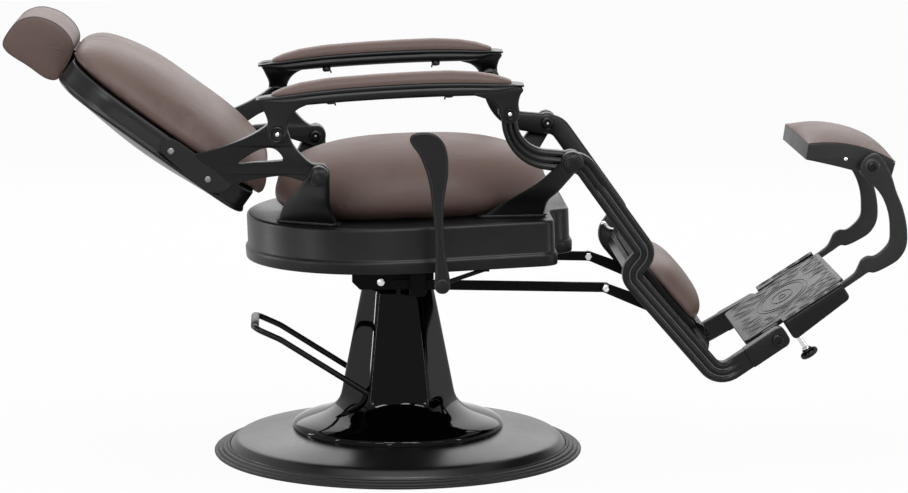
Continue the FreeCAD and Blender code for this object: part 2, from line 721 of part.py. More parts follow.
def above_rail_plane():
    """Everything above the underside of the tilted rails."""
    return tilted(box((-FAR, FAR), (-FAR, FAR), (RAIL_LOW, RAIL_LOW + FAR)))


def below_deck():
    """Everything below the tilted top of the pan."""
    return tilted(box((-FAR, FAR), (-FAR, FAR), (PAN_TOP - FAR, PAN_TOP)))


def seat_support():
    """Casting with a hub on the ram, two cheeks and a plate under the rails."""
    top = RAIL_LOW + SUPPORT_TOP_SPARE
    hub = upright(SUPPORT_HUB_RADIUS, HUB_LOW, top)
    half = SUPPORT_PLATE_LENGTH / 2
    edge = RAIL_INNER + RAIL_WIDTH
    plate = box((-half, half), (-edge, edge), (RAIL_LOW - SUPPORT_PLATE_THICK, top))
    casting = hub.fuse(plate)
    back, front, low = SUPPORT_CHEEK_BACK, SUPPORT_CHEEK_FRONT, SUPPORT_CHEEK_LOW
    cut = SUPPORT_CHEEK_CHAMFER
    outline = [(back, low + cut), (back + cut, low), (front - cut, low), (front, low + cut)]
    outline += [(front, top), (back, top)]
    for side in (-1, 1):
        faces = sorted([side * SUPPORT_CHEEK_FACE, side * (SUPPORT_CHEEK_FACE - SUPPORT_CHEEK_THICK)])
        cheek = slab(outline, faces[0], faces[1])
        for place in SUPPORT_BOLT_PLACES:
            cheek = cheek.cut(disc(place, SUPPORT_BOLT_RADIUS, faces[0], faces[1]))
        casting = casting.fuse(cheek)
    bore_top = WASHER_LOW + RAM_SPIGOT_HEIGHT + SPIGOT_END_GAP
    casting = casting.cut(upright(RAM_SPIGOT_RADIUS + RUN_FIT, HUB_LOW, bore_top))
    casting = casting.cut(above_rail_plane())
    return casting.cut(disc(LEVER_PIVOT, LEVER_SHAFT_RADIUS + RUN_FIT, -FAR, FAR)).removeSplitter()


def support_bolts():
    """Bolts in the cheeks."""
    inner = SUPPORT_CHEEK_FACE - SUPPORT_CHEEK_THICK
    bolts = []
    for place in SUPPORT_BOLT_PLACES:
        bolt = pin(place, SUPPORT_BOLT_RADIUS, inner, SUPPORT_CHEEK_FACE, SUPPORT_BOLT_HEAD,
                   SUPPORT_BOLT_HEAD_THICK)
        bolts += [bolt, mirrored(bolt)]
    return Part.makeCompound(bolts)


def pan_outline(grow, z):
    """Plan of the pan: a round back, straight flanks, notched corners and a nose."""
    radius = PAN_RADIUS + grow
    corner_x, corner_y = PAN_CORNER[0] + grow, PAN_CORNER[1] + grow
    nose_x, nose_y = PAN_NOSE[0] + grow, PAN_NOSE[1] + grow
    notch_y = PAN_NOTCH_Y + grow
    reach = corner_x - PAN_MIDDLE
    angle = math.atan2(corner_y, reach) + math.acos(min(1.0, radius / math.hypot(reach, corner_y)))
    touch = V(PAN_MIDDLE + radius * math.cos(angle), radius * math.sin(angle), z)
    half = [touch, V(corner_x, corner_y, z), V(corner_x, notch_y, z), V(nose_x, nose_y, z)]
    radii = [0, PAN_CORNER_RADIUS + grow, PAN_NOTCH_RADIUS - grow, PAN_NOSE_RADIUS + grow]
    points = half + [V(point.x, -point.y, z) for point in reversed(half)]
    front = rounded_wire(points, radii + radii[::-1], closed=False)
    back = Part.Arc(points[-1], V(PAN_MIDDLE - radius, 0, z), points[0]).toShape()
    return Part.Wire(front.Edges + [back])


def pan_block(grow, z_start, z_end):
    """The pan's plan as a solid between two heights."""
    return Part.Face(pan_outline(grow, z_start)).extrude(V(0, 0, z_end - z_start))


def seat_pan():
    """Deck with a skirt that ends in a stepped band, open underneath."""
    body = pan_block(0, PAN_LOW, PAN_TOP)
    rims = [item for item in body.Edges if item.BoundBox.ZMin > PAN_TOP - TINY]
    body = body.makeFillet(PAN_EDGE_RADIUS, rims)
    band = pan_block(PAN_BAND_STEP, PAN_LOW, PAN_LOW + PAN_BAND_HEIGHT)
    body = body.fuse(band)
    body = body.cut(pan_block(-PAN_WALL, PAN_LOW, PAN_TOP - PAN_DECK))
    return tilted(body.removeSplitter())


def seat_rail():
    """Box rail between the support and the deck."""
    half = RAIL_LENGTH / 2
    top = PAN_TOP - PAN_DECK
    ends = (RAIL_INNER, RAIL_INNER + RAIL_WIDTH)
    tube = box((-half, half), ends, (RAIL_LOW, top))
    inside = (RAIL_INNER + RAIL_WALL, RAIL_INNER + RAIL_WIDTH - RAIL_WALL)
    return tilted(tube.cut(box((-half, half), inside, (RAIL_LOW + RAIL_WALL, top - RAIL_WALL))))


def seat_cushion():
    """Crowned seat cushion on the deck."""
    block = domed(CUSHION_LENGTH, CUSHION_WIDTH, CUSHION_HEIGHT, SEAT_CROWN_SQUARENESS, SEAT_CROWN_SHARES)
    return tilted(block.translate(V(CUSHION_MIDDLE, 0, PAN_TOP + SOFT_GAP)))


def lug_section(foot, thick, level):
    """Closed outline along the line between two plan points, at a height."""
    start, end = V(foot[0][0], foot[0][1], level), V(foot[1][0], foot[1][1], level)
    along = (end - start).normalize()
    across = V(-along.y, along.x, 0) * (thick / 2)
    points = [start - across, end - across, end + across, start + across]
    return Part.makePolygon(points + points[:1])


def lug(foot, pivot):
    """Casting that leans out from its foot on the deck to a boss beside the pivot."""
    half = LUG_NECK_LENGTH / 2
    middle = (OUTER_FACE + OUTER_END) / 2
    faces = (middle - LUG_THICK / 2, middle + LUG_THICK / 2)
    neck_level = pivot[1] - BOSS_RADIUS - LAYER_GAP
    foot_x = (foot[0][0] + foot[1][0]) / 2
    neck_x = foot_x + LUG_NECK_SHARE * (pivot[0] - foot_x)
    neck = [(neck_x - half, middle), (neck_x + half, middle)]
    sections = [lug_section(foot, LUG_THICK, PAN_TOP - LUG_FOOT_SINK),
                lug_section(neck, LUG_THICK, neck_level)]
    body = Part.makeLoft(sections, True, True)
    body = body.fuse(link((neck_x, neck_level), half, pivot, BOSS_RADIUS, *faces))
    body = body.fuse(disc(pivot, BOSS_RADIUS, OUTER_FACE, OUTER_END)).fuse(lug_foot(foot))
    body = body.cut(below_deck())
    for screw in foot_screws(foot):
        body = body.cut(screw)
    return body.cut(disc(pivot, PIN_RADIUS, -FAR, FAR)).removeSplitter()


def foot_line(foot):
    """Start, end and unit direction of a lug's foot in plan."""
    start, end = V(foot[0][0], foot[0][1], 0), V(foot[1][0], foot[1][1], 0)
    return start, end, (end - start).normalize()


def lug_foot(foot):
    """Flat foot under a lug, level with the deck."""
    start, end, along = foot_line(foot)
    start, end = start - along * LUG_FOOT_MARGIN, end + along * LUG_FOOT_MARGIN
    outline = lug_section([(start.x, start.y), (end.x, end.y)], LUG_FOOT_WIDTH, PAN_TOP)
    return tilted(Part.Face(outline).extrude(V(0, 0, LUG_FOOT_THICK)))


def foot_screws(foot):
    """Two flush screws, one beyond each end of a lug's web."""
    start, end, along = foot_line(foot)
    top = PAN_TOP + LUG_FOOT_THICK
    screws = []
    for place in (start - along * (LUG_FOOT_MARGIN / 2), end + along * (LUG_FOOT_MARGIN / 2)):
        screw = upright(LUG_SCREW_RADIUS, PAN_TOP, top, place.x, place.y)
        screw = screw.fuse(upright(LUG_SCREW_HEAD, top - LUG_SCREW_HEAD_THICK, top, place.x, place.y))
        screws.append(tilted(screw.removeSplitter()))
    return screws


def lug_screws():
    """Screws through the feet of the four lugs."""
    screws = foot_screws(REAR_LUG_FOOT) + foot_screws(FRONT_LUG_FOOT)
    return Part.makeCompound(screws + [mirrored(screw) for screw in screws])


def side_pin(pivot):
    """Pin through both side layers, with a nut inside and a round head outside."""
    inner = INNER_FACE - SLIDE_GAP
    shank = pin(pivot, PIN_RADIUS, inner, OUTER_END, PIN_HEAD_RADIUS, PIN_HEAD_THICK)
    return shank.fuse(disc(pivot, PIN_NUT_RADIUS, inner - PIN_NUT_THICK, inner)).removeSplitter()


# Recline lock

def guide_limits():
    """Inner and outer faces of a guide block."""
    gap = GUIDE_SIDE_GAP + GUIDE_SIDE_WALL
    return STRUT_FACE - gap, STRUT_FACE + STRUT_THICK + gap


def guide_bracket():
    """Two cheeks that carry a guide, hung from a plate beside the rail."""
    inner, outer = guide_limits()
    low = GUIDE_PIVOT[1] - GUIDE_CHEEK_HALF
    top = RAIL_LOW + GUIDE_BRACKET_RISE
    x_range = (GUIDE_PIVOT[0] - GUIDE_CHEEK_HALF, GUIDE_PIVOT[0] + GUIDE_CHEEK_HALF)
    cheeks = [(inner - SLIDE_GAP - GUIDE_CHEEK_THICK, inner - SLIDE_GAP),
              (outer + SLIDE_GAP, outer + SLIDE_GAP + GUIDE_CHEEK_THICK)]
    body = box(x_range, (RAIL_INNER + RAIL_WIDTH, cheeks[1][1]), (top - GUIDE_CHEEK_THICK, top))
    for cheek in cheeks:
        body = body.fuse(box(x_range, cheek, (low, top)))
    bore = disc(GUIDE_PIVOT, GUIDE_PIN_RADIUS + RUN_FIT, cheeks[0][0], cheeks[1][1])
    return body.cut(bore).removeSplitter()


def strut_slope():
    """Slope of a strut's straight bar, in degrees."""
    tail = strut_tail()
    return math.degrees(math.atan2(STRUT_KNEE[1] - tail[1], STRUT_KNEE[0] - tail[0]))


def strut_tail():
    """Rear end of a strut, on the line from its knee through the guide."""
    climb = (GUIDE_PIVOT[1] - STRUT_KNEE[1]) / (GUIDE_PIVOT[0] - STRUT_KNEE[0])
    return STRUT_TAIL_X, GUIDE_PIVOT[1] + (STRUT_TAIL_X - GUIDE_PIVOT[0]) * climb


def lock_guide():
    """Swivelling block that a strut slides through."""
    inner, outer = guide_limits()
    half = STRUT_HALF_HEIGHT + GUIDE_PLAY + GUIDE_WALL
    block = box((-GUIDE_HALF_LENGTH, GUIDE_HALF_LENGTH), (inner, outer), (-half, half))
    reach = SLIDE_GAP + GUIDE_CHEEK_THICK
    block = block.fuse(disc((0, 0), GUIDE_PIN_RADIUS, inner - reach, outer + reach))
    hole = STRUT_HALF_HEIGHT + GUIDE_PLAY
    y_range = (STRUT_FACE - GUIDE_SIDE_GAP, STRUT_FACE + STRUT_THICK + GUIDE_SIDE_GAP)
    block = block.cut(box((-FAR, FAR), y_range, (-hole, hole)))
    block.rotate(ORIGIN, Y_AXIS, -strut_slope())
    return block.translate(V(GUIDE_PIVOT[0], 0, GUIDE_PIVOT[1]))


def strut_bar():
    """Straight bar from its tail under the seat to the knee."""
    half = STRUT_HALF_HEIGHT
    bar = link(strut_tail(), half, STRUT_KNEE, half, STRUT_FACE, STRUT_FACE + STRUT_THICK)
    return bar.cut(disc(STRUT_KNEE, KNEE_BOLT_RADIUS, -FAR, FAR))


def strut_link():
    """Short link from the knee to the leg rest."""
    face = STRUT_FACE + STRUT_THICK
    arm = link(STRUT_KNEE, STRUT_HALF_HEIGHT, STRUT_PIVOT, STRUT_EYE_RADIUS, face, face + STRUT_THICK)
    arm = arm.cut(disc(STRUT_KNEE, KNEE_BOLT_RADIUS, -FAR, FAR))
    return arm.cut(disc(STRUT_PIVOT, STRUT_PIN_RADIUS + RUN_FIT, -FAR, FAR))


def knee_bolt():
    """Bolt that clamps a bar to its link."""
    outer = STRUT_FACE + 2 * STRUT_THICK
    bolt = pin(STRUT_KNEE, KNEE_BOLT_RADIUS, STRUT_FACE, outer, KNEE_BOLT_HEAD, KNEE_BOLT_HEAD_THICK)
    nut = disc(STRUT_KNEE, KNEE_BOLT_HEAD, STRUT_FACE - KNEE_BOLT_HEAD_THICK, STRUT_FACE)
    return bolt.fuse(nut).removeSplitter()


def lock_shaft():
    """Shaft under the seat that the lever turns."""
    inner = SUPPORT_CHEEK_FACE - SUPPORT_CHEEK_THICK
    return disc(LEVER_PIVOT, LEVER_SHAFT_RADIUS, -LEVER_FACE - LEVER_THICK, -inner)


def lock_lever():
    """Paddle handle on the right end of the shaft."""
    stations = [(LEVER_PIVOT, LEVER_HUB_RADIUS)] + LEVER_STEM
    body = None
    for (start, start_radius), (end, end_radius) in zip(stations, stations[1:]):
        piece = link(start, start_radius, end, end_radius, -LEVER_FACE - LEVER_THICK, -LEVER_FACE)
        body = piece if body is None else body.fuse(piece)
    return body.cut(disc(LEVER_PIVOT, LEVER_SHAFT_RADIUS, -FAR, FAR)).removeSplitter()


def lever_brace():
    """Eye round the shaft on a rod from the pan's edge."""
    eye = disc(LEVER_PIVOT, BRACE_EYE_RADIUS, -BRACE_FACE - BRACE_EYE_WIDTH, -BRACE_FACE)
    start = V(LEVER_PIVOT[0], -BRACE_FACE - BRACE_EYE_WIDTH / 2, LEVER_PIVOT[1])
    low = PAN_LOW - BRACE_PAD_THICK
    half = BRACE_PAD_SIZE / 2
    x_range = (BRACE_PAD_X - half, BRACE_PAD_X + half)
    y_range = (-BRACE_PAD_Y - half, -BRACE_PAD_Y + half)
    pad = tilted(box(x_range, y_range, (low, PAN_LOW)))
    end = pad.BoundBox.Center
    rod = Part.makeCylinder(BRACE_ROD_RADIUS, (end - start).Length, start, end - start)
    body = eye.fuse(rod).fuse(pad)
    body = body.cut(tilted(box((-FAR, FAR), (-FAR, FAR), (PAN_LOW, PAN_LOW + FAR))))
    return body.cut(disc(LEVER_PIVOT, LEVER_SHAFT_RADIUS + RUN_FIT, -FAR, FAR)).removeSplitter()


# Back

def back_plan(grow, z_start, z_end):
    """Rounded outline of the back as a solid in the back's frame."""
    half = BACK_HALF_WIDTH + grow
    low, high = BACK_LOW - grow, BACK_HIGH + grow
    points = [V(low, -half, z_start), V(high, -half, z_start), V(high, half, z_start), V(low, half, z_start)]
    corners = [BACK_LOW_CORNER, BACK_TOP_CORNER, BACK_TOP_CORNER, BACK_LOW_CORNER]
    wire = rounded_wire(points, [corner + grow for corner in corners])
    return Part.Face(wire).extrude(V(0, 0, z_end - z_start))


def back_barrel(depth, front):
    """Barrel-backed section, wider than the shell, carried up the back."""
    side = BACK_FRONT - depth
    wide = BACK_HALF_WIDTH + BACK_WALL
    arc = Part.Arc(V(0, -wide, side), V(0, 0, side - BACK_BULGE), V(0, wide, side)).toShape()
    corners = [V(0, wide, side), V(0, wide, front), V(0, -wide, front), V(0, -wide, side)]
    return Part.Face(Part.Wire([arc] + Part.makePolygon(corners).Edges)).extrude(V(BACK_HIGH + FAR, 0, 0))


def back_arch(depth, front):
    """Section arched from the lower end to the top, carried across the back."""
    side = BACK_FRONT - depth
    wide = BACK_HALF_WIDTH + BACK_WALL
    low, high = BACK_LOW - BACK_WALL, BACK_HIGH + BACK_WALL
    crest = V((low + high) / 2, -wide, side - BACK_BULGE)
    arc = Part.Arc(V(low, -wide, side), crest, V(high, -wide, side)).toShape()
    corners = [V(high, -wide, side), V(high, -wide, front), V(low, -wide, front), V(low, -wide, side)]
    return Part.Face(Part.Wire([arc] + Part.makePolygon(corners).Edges)).extrude(V(0, 2 * wide, 0))


def back_vault(grow, depth, front):
    """Solid inside the back's outline whose rear swells towards its middle both ways."""
    deep = BACK_FRONT - BACK_SIDE_DEPTH - BACK_BULGE - BACK_WALL
    return back_barrel(depth, front).common(back_arch(depth, front)).common(back_plan(grow, deep, front))


def back_shell():
    """Tray behind the cushion, with a rear that swells towards its middle."""
    body = back_vault(0, BACK_SIDE_DEPTH, BACK_FRONT)
    body = body.cut(back_vault(-BACK_WALL, BACK_SIDE_DEPTH - BACK_WALL, BACK_FRONT + BACK_WALL))
    for side in (-1, 1):
        start = V(BACK_HIGH - SOCKET_LENGTH, side * POST_HALF_SPACING, POST_LEVEL)
        body = body.cut(Part.makeCylinder(POST_RADIUS + SLIDE_GAP, FAR, start, V(1, 0, 0)))
    body = in_back(body)
    for place in BRACKET_BOLTS:
        hole = disc(place, BRACKET_BOLT_RADIUS, BACK_HALF_WIDTH - 2 * BACK_WALL, BACK_HALF_WIDTH + BACK_WALL)
        body = body.cut(hole).cut(mirrored(hole))
    return body


def back_board():
    """Board that closes the shell's front and carries the cushion."""
    return in_back(back_plan(-BACK_WALL, BACK_FRONT - BACK_BOARD_THICK, BACK_FRONT))


def back_cushion():
    """Crowned back cushion, which hangs a little over the shell's lower edge."""
    low = BACK_LOW - BACK_CUSHION_OVERHANG
    width = 2 * (BACK_HALF_WIDTH - BACK_CUSHION_INSET)
    block = domed(BACK_HIGH - low, width, BACK_CUSHION_HEIGHT, BACK_CROWN_SQUARENESS, BACK_CROWN_SHARES)
    return in_back(block.translate(V((BACK_HIGH + low) / 2, 0, BACK_FRONT + SOFT_GAP)))


def back_bracket():
    """Y-shaped casting: a plate on the shell's side, two arms, and a strut between the two pivots."""
    arms = (INNER_FACE + BRACKET_ARM_STEP, INNER_END - BRACKET_ARM_STEP)
    plate = (BACK_HALF_WIDTH, BACK_HALF_WIDTH + BRACKET_PLATE_THICK)
    bosses = (INNER_FACE, INNER_END)
    first, second = BRACKET_BOLTS
    body = link(first, BRACKET_PLATE_RADIUS, second, BRACKET_PLATE_RADIUS, *plate)
    middle = ((first[0] + second[0]) / 2 + BRACKET_ROOT_SHIFT, (first[1] + second[1]) / 2)
    body = body.fuse(link(middle, BRACKET_ROOT_RADIUS, BRACKET_ROOT, BRACKET_ROOT_RADIUS, plate[0], arms[1]))
    body = body.fuse(link(BRACKET_ROOT, BRACKET_ARM_RADIUS, ARM_REAR_PIVOT, BOSS_RADIUS, *arms))
    body = body.fuse(link(BRACKET_ROOT, BRACKET_ARM_RADIUS, BRACKET_FORK, BRACKET_FORK_RADIUS, *arms))
    body = body.fuse(link(BRACKET_FORK, BRACKET_FORK_RADIUS, REAR_PIVOT, BOSS_RADIUS, *arms))
    body = body.fuse(link(ARM_REAR_PIVOT, BOSS_RADIUS, REAR_PIVOT, BOSS_RADIUS, *arms))
    for pivot in (REAR_PIVOT, ARM_REAR_PIVOT):
        body = body.fuse(disc(pivot, BOSS_RADIUS, *bosses))
    body = body.cut(disc(REAR_PIVOT, PIN_RADIUS + RUN_FIT, *bosses))
    body = body.cut(disc(ARM_REAR_PIVOT, PIN_RADIUS, *bosses))
    for place in BRACKET_BOLTS:
        body = body.cut(disc(place, BRACKET_BOLT_RADIUS, plate[0], plate[1]))
        body = body.cut(disc(place, BRACKET_BOLT_HEAD + SLIDE_GAP, plate[1], FAR))
    return body.removeSplitter()


def bracket_bolts():
    """Bolts that hold the brackets on the shell."""
    bolts = []
    outer = BACK_HALF_WIDTH + BRACKET_PLATE_THICK
    for place in BRACKET_BOLTS:
        bolt = pin(place, BRACKET_BOLT_RADIUS, BACK_HALF_WIDTH - BACK_WALL, outer, BRACKET_BOLT_HEAD,
                   BRACKET_BOLT_HEAD_THICK)
        bolts += [bolt, mirrored(bolt)]
    return Part.makeCompound(bolts)


def headrest_socket():
    """Block in the top of the shell with a bore for each post."""
    half = POST_HALF_SPACING + SOCKET_MARGIN
    high = BACK_HIGH - BACK_WALL
    low_face = POST_LEVEL - SOCKET_HEIGHT / 2
    top_face = min(POST_LEVEL + SOCKET_HEIGHT / 2, BACK_FRONT - BACK_BOARD_THICK)
    block = box((high - SOCKET_LENGTH, high), (-half, half), (low_face, top_face))
    for side in (-1, 1):
        start = V(high - SOCKET_LENGTH, side * POST_HALF_SPACING, POST_LEVEL)
        block = block.cut(Part.makeCylinder(POST_RADIUS + RUN_FIT, SOCKET_LENGTH, start, V(1, 0, 0)))
    return in_back(block)


def headrest_frame():
    """Board under the headrest pad, welded to two posts that slide in the socket."""
    margin = HEAD_BOARD_MARGIN
    low = BACK_HIGH + HEAD_GAP
    frame = box((low, low + HEAD_BOARD_THICK), (margin - HEAD_HALF_WIDTH, HEAD_HALF_WIDTH - margin),
                (HEAD_REAR + margin, HEAD_REAR + HEAD_HEIGHT - margin))
    for side in (-1, 1):
        start = V(low - POST_LENGTH, side * POST_HALF_SPACING, POST_LEVEL)
        frame = frame.fuse(Part.makeCylinder(POST_RADIUS, POST_LENGTH, start, V(1, 0, 0)))
    return in_back(frame.removeSplitter())


def headrest_pad():
    """Plain solid of the headrest."""
    low = BACK_HIGH + HEAD_GAP + HEAD_BOARD_THICK + SOFT_GAP
    length = HEAD_LENGTH - HEAD_BOARD_THICK
    block = cushion(length, 2 * HEAD_HALF_WIDTH, HEAD_HEIGHT, HEAD_CORNER, HEAD_EDGE)
    return in_back(block.translate(V(low + length / 2, 0, HEAD_REAR)))


# Armrests

def on_arm(shape):
    """Place a shape drawn level with the arm's middle at the arm's slope."""
    shape.rotate(ORIGIN, Y_AXIS, -ARM_SLOPE)
    return shape.translate(V((ARM_BACK_X + ARM_FRONT_X) / 2, ARM_MIDDLE, ARM_LEVEL))


def arm_rail():
    """Rail under the pad, rounded in plan at both tips."""
    length = ARM_FRONT_X - ARM_BACK_X
    block = cushion(length, 2 * ARM_HALF_WIDTH, ARM_THICK, ARM_TIP_RADIUS, ARM_EDGE)
    return on_arm(block.translate(V(0, 0, -ARM_THICK / 2)))


def arm_frame():
    """Rail with a leg to each of its two pivots."""
    body = arm_rail()
    legs = (OUTER_FACE, OUTER_END)
    rear = link(ARM_REAR_KNEE, ARM_REAR_KNEE_RADIUS, ARM_REAR_PIVOT, ARM_LEG_RADIUS, *legs)
    front = link(ARM_FRONT_KNEE, ARM_FRONT_KNEE_RADIUS, ARM_FRONT_PIVOT, ARM_LEG_RADIUS, *legs)
    body = body.fuse(rear).fuse(front)
    body = body.cut(on_arm(box((-FAR, FAR), (-FAR, FAR), (ARM_THICK / 2, FAR))))
    body = body.cut(disc(ARM_REAR_PIVOT, PIN_RADIUS + RUN_FIT, *legs))
    body = body.cut(disc(ARM_FRONT_PIVOT, PIN_RADIUS + OPEN_PIVOT_FIT, *legs))
    for place in arm_screw_places():
        body = body.cut(on_arm(upright(ARM_SCREW_RADIUS, -ARM_THICK, ARM_THICK, place)))
    return body.removeSplitter()


def arm_screw_places():
    """Places along the rail of the screws that hold the pad."""
    reach = (ARM_FRONT_X - ARM_BACK_X) / 2 - ARM_SCREW_INSET
    return (-reach, reach)


def arm_pad():
    """Plain solid of an arm's pad."""
    block = cushion(ARM_PAD_LENGTH, 2 * ARM_PAD_HALF_WIDTH, ARM_PAD_HEIGHT, ARM_PAD_CORNER, ARM_PAD_EDGE)
    return on_arm(block.translate(V(-ARM_PAD_INSET / 2, 0, ARM_THICK / 2 + SOFT_GAP)))


def arm_screws():
    """Screws that hold an arm's pad from below."""
    screws = []
    low = -ARM_THICK / 2
    for place in arm_screw_places():
        screw = upright(ARM_SCREW_RADIUS, low, ARM_THICK / 2, place)
        screw = screw.fuse(upright(ARM_SCREW_HEAD, low - ARM_SCREW_HEAD_THICK, low, place))
        screws.append(on_arm(screw.removeSplitter()))
    return Part.makeCompound(screws)


# Leg rest

def leg_points():
    """Corners of a side casting's centre line, toed in from the front pivot to the foot."""
    upper = [ARM_FRONT_PIVOT] + LEG_UPPER_CORNERS
    lower = LEG_LOWER_CORNERS + [FOOT_PIVOT]
    runs = [math.dist(one, two) for one, two in zip(upper[-1:] + lower, lower)]
    points = [V(x, LEG_PATH_Y, z) for x, z in upper]
    for index, (x, z) in enumerate(lower):
        share = sum(runs[:index + 1]) / sum(runs)
        points.append(V(x, LEG_PATH_Y + share * (LEG_FOOT_Y - LEG_PATH_Y), z))
    return points


def leg_section(start, ahead):
    """Section of a side casting: flat inside, with three rounded ridges outside."""
    along = (ahead - start).normalize()
    across = along.cross(Y_AXIS)
    half = LEG_WIDTH / 2
    inner, outer = -INNER_THICK / 2, INNER_THICK / 2
    valley = outer - LEG_RIDGE
    ridge = LEG_WIDTH / 3

    def at(side, depth):
        return start + across * side + Y_AXIS * depth

    edges = [Part.makeLine(at(-half, valley), at(-half, inner + LEG_ROUND)),
             Part.makeLine(at(-half, inner + LEG_ROUND), at(LEG_ROUND - half, inner)),
             Part.makeLine(at(LEG_ROUND - half, inner), at(half - LEG_ROUND, inner)),
             Part.makeLine(at(half - LEG_ROUND, inner), at(half, inner + LEG_ROUND)),
             Part.makeLine(at(half, inner + LEG_ROUND), at(half, valley))]
    for step in range(3):
        side = half - step * ridge
        crest = at(side - ridge / 2, outer)
        edges.append(Part.Arc(at(side, valley), crest, at(side - ridge, valley)).toShape())
    return Part.Wire(edges)


def leg_side():
    """Ridged side casting from the arm's front pivot to the foot, with bosses at its pivots."""
    points = leg_points()
    path = rounded_wire(points, [0] + LEG_RADII + [0], closed=False)
    body = swept(leg_section(points[0], points[1]), path)
    foot = (LEG_FOOT_Y - INNER_THICK / 2, LEG_FOOT_Y + INNER_THICK / 2)
    body = body.fuse(disc(ARM_FRONT_PIVOT, BOSS_RADIUS, INNER_FACE, INNER_END))
    body = body.fuse(disc(FRONT_PIVOT, LEG_FRONT_BOSS, INNER_FACE, INNER_END))
    body = body.fuse(disc(FOOT_PIVOT, LEG_FOOT_BOSS, *foot))
    body = body.cut(disc(ARM_FRONT_PIVOT, PIN_RADIUS, INNER_FACE, INNER_END))
    body = body.cut(disc(FRONT_PIVOT, PIN_RADIUS + RUN_FIT, INNER_FACE, INNER_END))
    body = body.cut(disc(FOOT_PIVOT, FOOT_BOLT_RADIUS, *foot))
    body = body.cut(disc(FOOT_PIVOT, FOOT_BOLT_HEAD + LEG_SPOT_FACE, foot[1], INNER_END))
    body = body.cut(disc(FOOT_PIVOT, LEG_FOOT_BOSS + LEG_SPOT_FACE, 0, foot[0]))
    body = body.cut(disc(FRONT_PIVOT, PIN_NUT_RADIUS + LEG_SPOT_FACE, 0, INNER_FACE))
    body = body.cut(disc(STRUT_PIVOT, STRUT_PIN_RADIUS, 0, leg_inner_face(STRUT_PIVOT) + STRUT_PIN_SEAT))
    for bar in cross_bar_boxes():
        body = body.cut(bar)
    return body


def leg_inner_face(place):
    """Distance of a side casting's inner face from the middle, beside a place on its lower run."""
    high, low = leg_points()[4:6]
    along = V(low.x - high.x, 0, low.z - high.z)
    share = (V(place[0] - high.x, 0, place[1] - high.z) * along) / (along * along)
    return high.y + share * (low.y - high.y) - INNER_THICK / 2


def leg_face_at(distance):
    """Inner face of the side castings at a distance down the lower run."""
    high, low = LEG_LOWER_CORNERS[1:]
    share = distance / math.dist(high, low)
    return leg_inner_face((high[0] + share * (low[0] - high[0]), high[1] + share * (low[1] - high[1])))


def cross_bar_boxes():
    """Bars from side casting to side casting, each seated in both."""
    bars = []
    for place in CROSS_BAR_PLACES:
        half = CROSS_BAR_WIDTH / 2
        reach = leg_face_at(place) + CROSS_BAR_SEAT
        bars.append(in_leg(box((place - half, place + half), (-reach, reach), (PANEL_BASE, PANEL_LEVEL))))
    return bars


def cross_bars():
    """The two cross bars as one node."""
    return Part.makeCompound(cross_bar_boxes())


def shin_panel():
    """Panel on the cross bars, with rows of round holes below the pad."""
    wide = leg_face_at(PANEL_HIGH) - PANEL_SIDE_GAP
    narrow = leg_face_at(PANEL_LOW) - PANEL_SIDE_GAP
    points = [V(PANEL_HIGH, -wide, PANEL_LEVEL), V(PANEL_LOW, -narrow, PANEL_LEVEL),
              V(PANEL_LOW, narrow, PANEL_LEVEL), V(PANEL_HIGH, wide, PANEL_LEVEL)]
    panel = Part.Face(rounded_wire(points, [PANEL_SIDE_GAP] * 4)).extrude(V(0, 0, PANEL_THICK))
    count = int((narrow - 2 * PANEL_HOLE_RADIUS) // PANEL_HOLE_PITCH)
    for row in PANEL_HOLE_ROWS:
        for step in range(-count, count + 1):
            place = step * PANEL_HOLE_PITCH
            panel = panel.cut(upright(PANEL_HOLE_RADIUS, PANEL_LEVEL, PANEL_LEVEL + PANEL_THICK, row, place))
    return in_leg(panel)


def shin_pad():
    """Plain solid of the shin pad."""
    block = cushion(SHIN_PAD_LENGTH, 2 * SHIN_PAD_HALF_WIDTH, SHIN_PAD_HEIGHT, SHIN_PAD_CORNER, SHIN_PAD_EDGE)
    level = PANEL_LEVEL + PANEL_THICK + SOFT_GAP
    return in_leg(block.translate(V(SHIN_PAD_HIGH + SHIN_PAD_LENGTH / 2, 0, level)))


def strut_pin():
    """Stub pin with a collar, from a side casting to a strut's eye."""
    face = leg_inner_face(STRUT_PIVOT)
    eye = STRUT_FACE + 2 * STRUT_THICK
    start = STRUT_FACE + STRUT_THICK - STRUT_PIN_SPARE
    stub = disc(STRUT_PIVOT, STRUT_PIN_RADIUS, start, face + STRUT_PIN_SEAT)
    collar_end = min(face - LAYER_GAP, eye + STRUT_COLLAR_LENGTH)
    return stub.fuse(disc(STRUT_PIVOT, STRUT_COLLAR_RADIUS, eye + SLIDE_GAP, collar_end)).removeSplitter()


def foot_bolt():
    """Bolt through a side casting's foot and an ear of the foot plate."""
    ear = foot_ear_faces()
    outer = LEG_FOOT_Y + INNER_THICK / 2
    bolt = pin(FOOT_PIVOT, FOOT_BOLT_RADIUS, ear[0] - SLIDE_GAP, outer, FOOT_BOLT_HEAD, FOOT_BOLT_HEAD_THICK)
    nut = disc(FOOT_PIVOT, FOOT_BOLT_HEAD, ear[0] - SLIDE_GAP - FOOT_BOLT_HEAD_THICK, ear[0] - SLIDE_GAP)
    return bolt.fuse(nut).removeSplitter()


# Footrest

def foot_ear_faces():
    """Inner and outer faces of the foot plate's ears."""
    outer = LEG_FOOT_Y - INNER_THICK / 2 - FOOT_EAR_GAP
    return outer - FOOT_EAR_THICK, outer


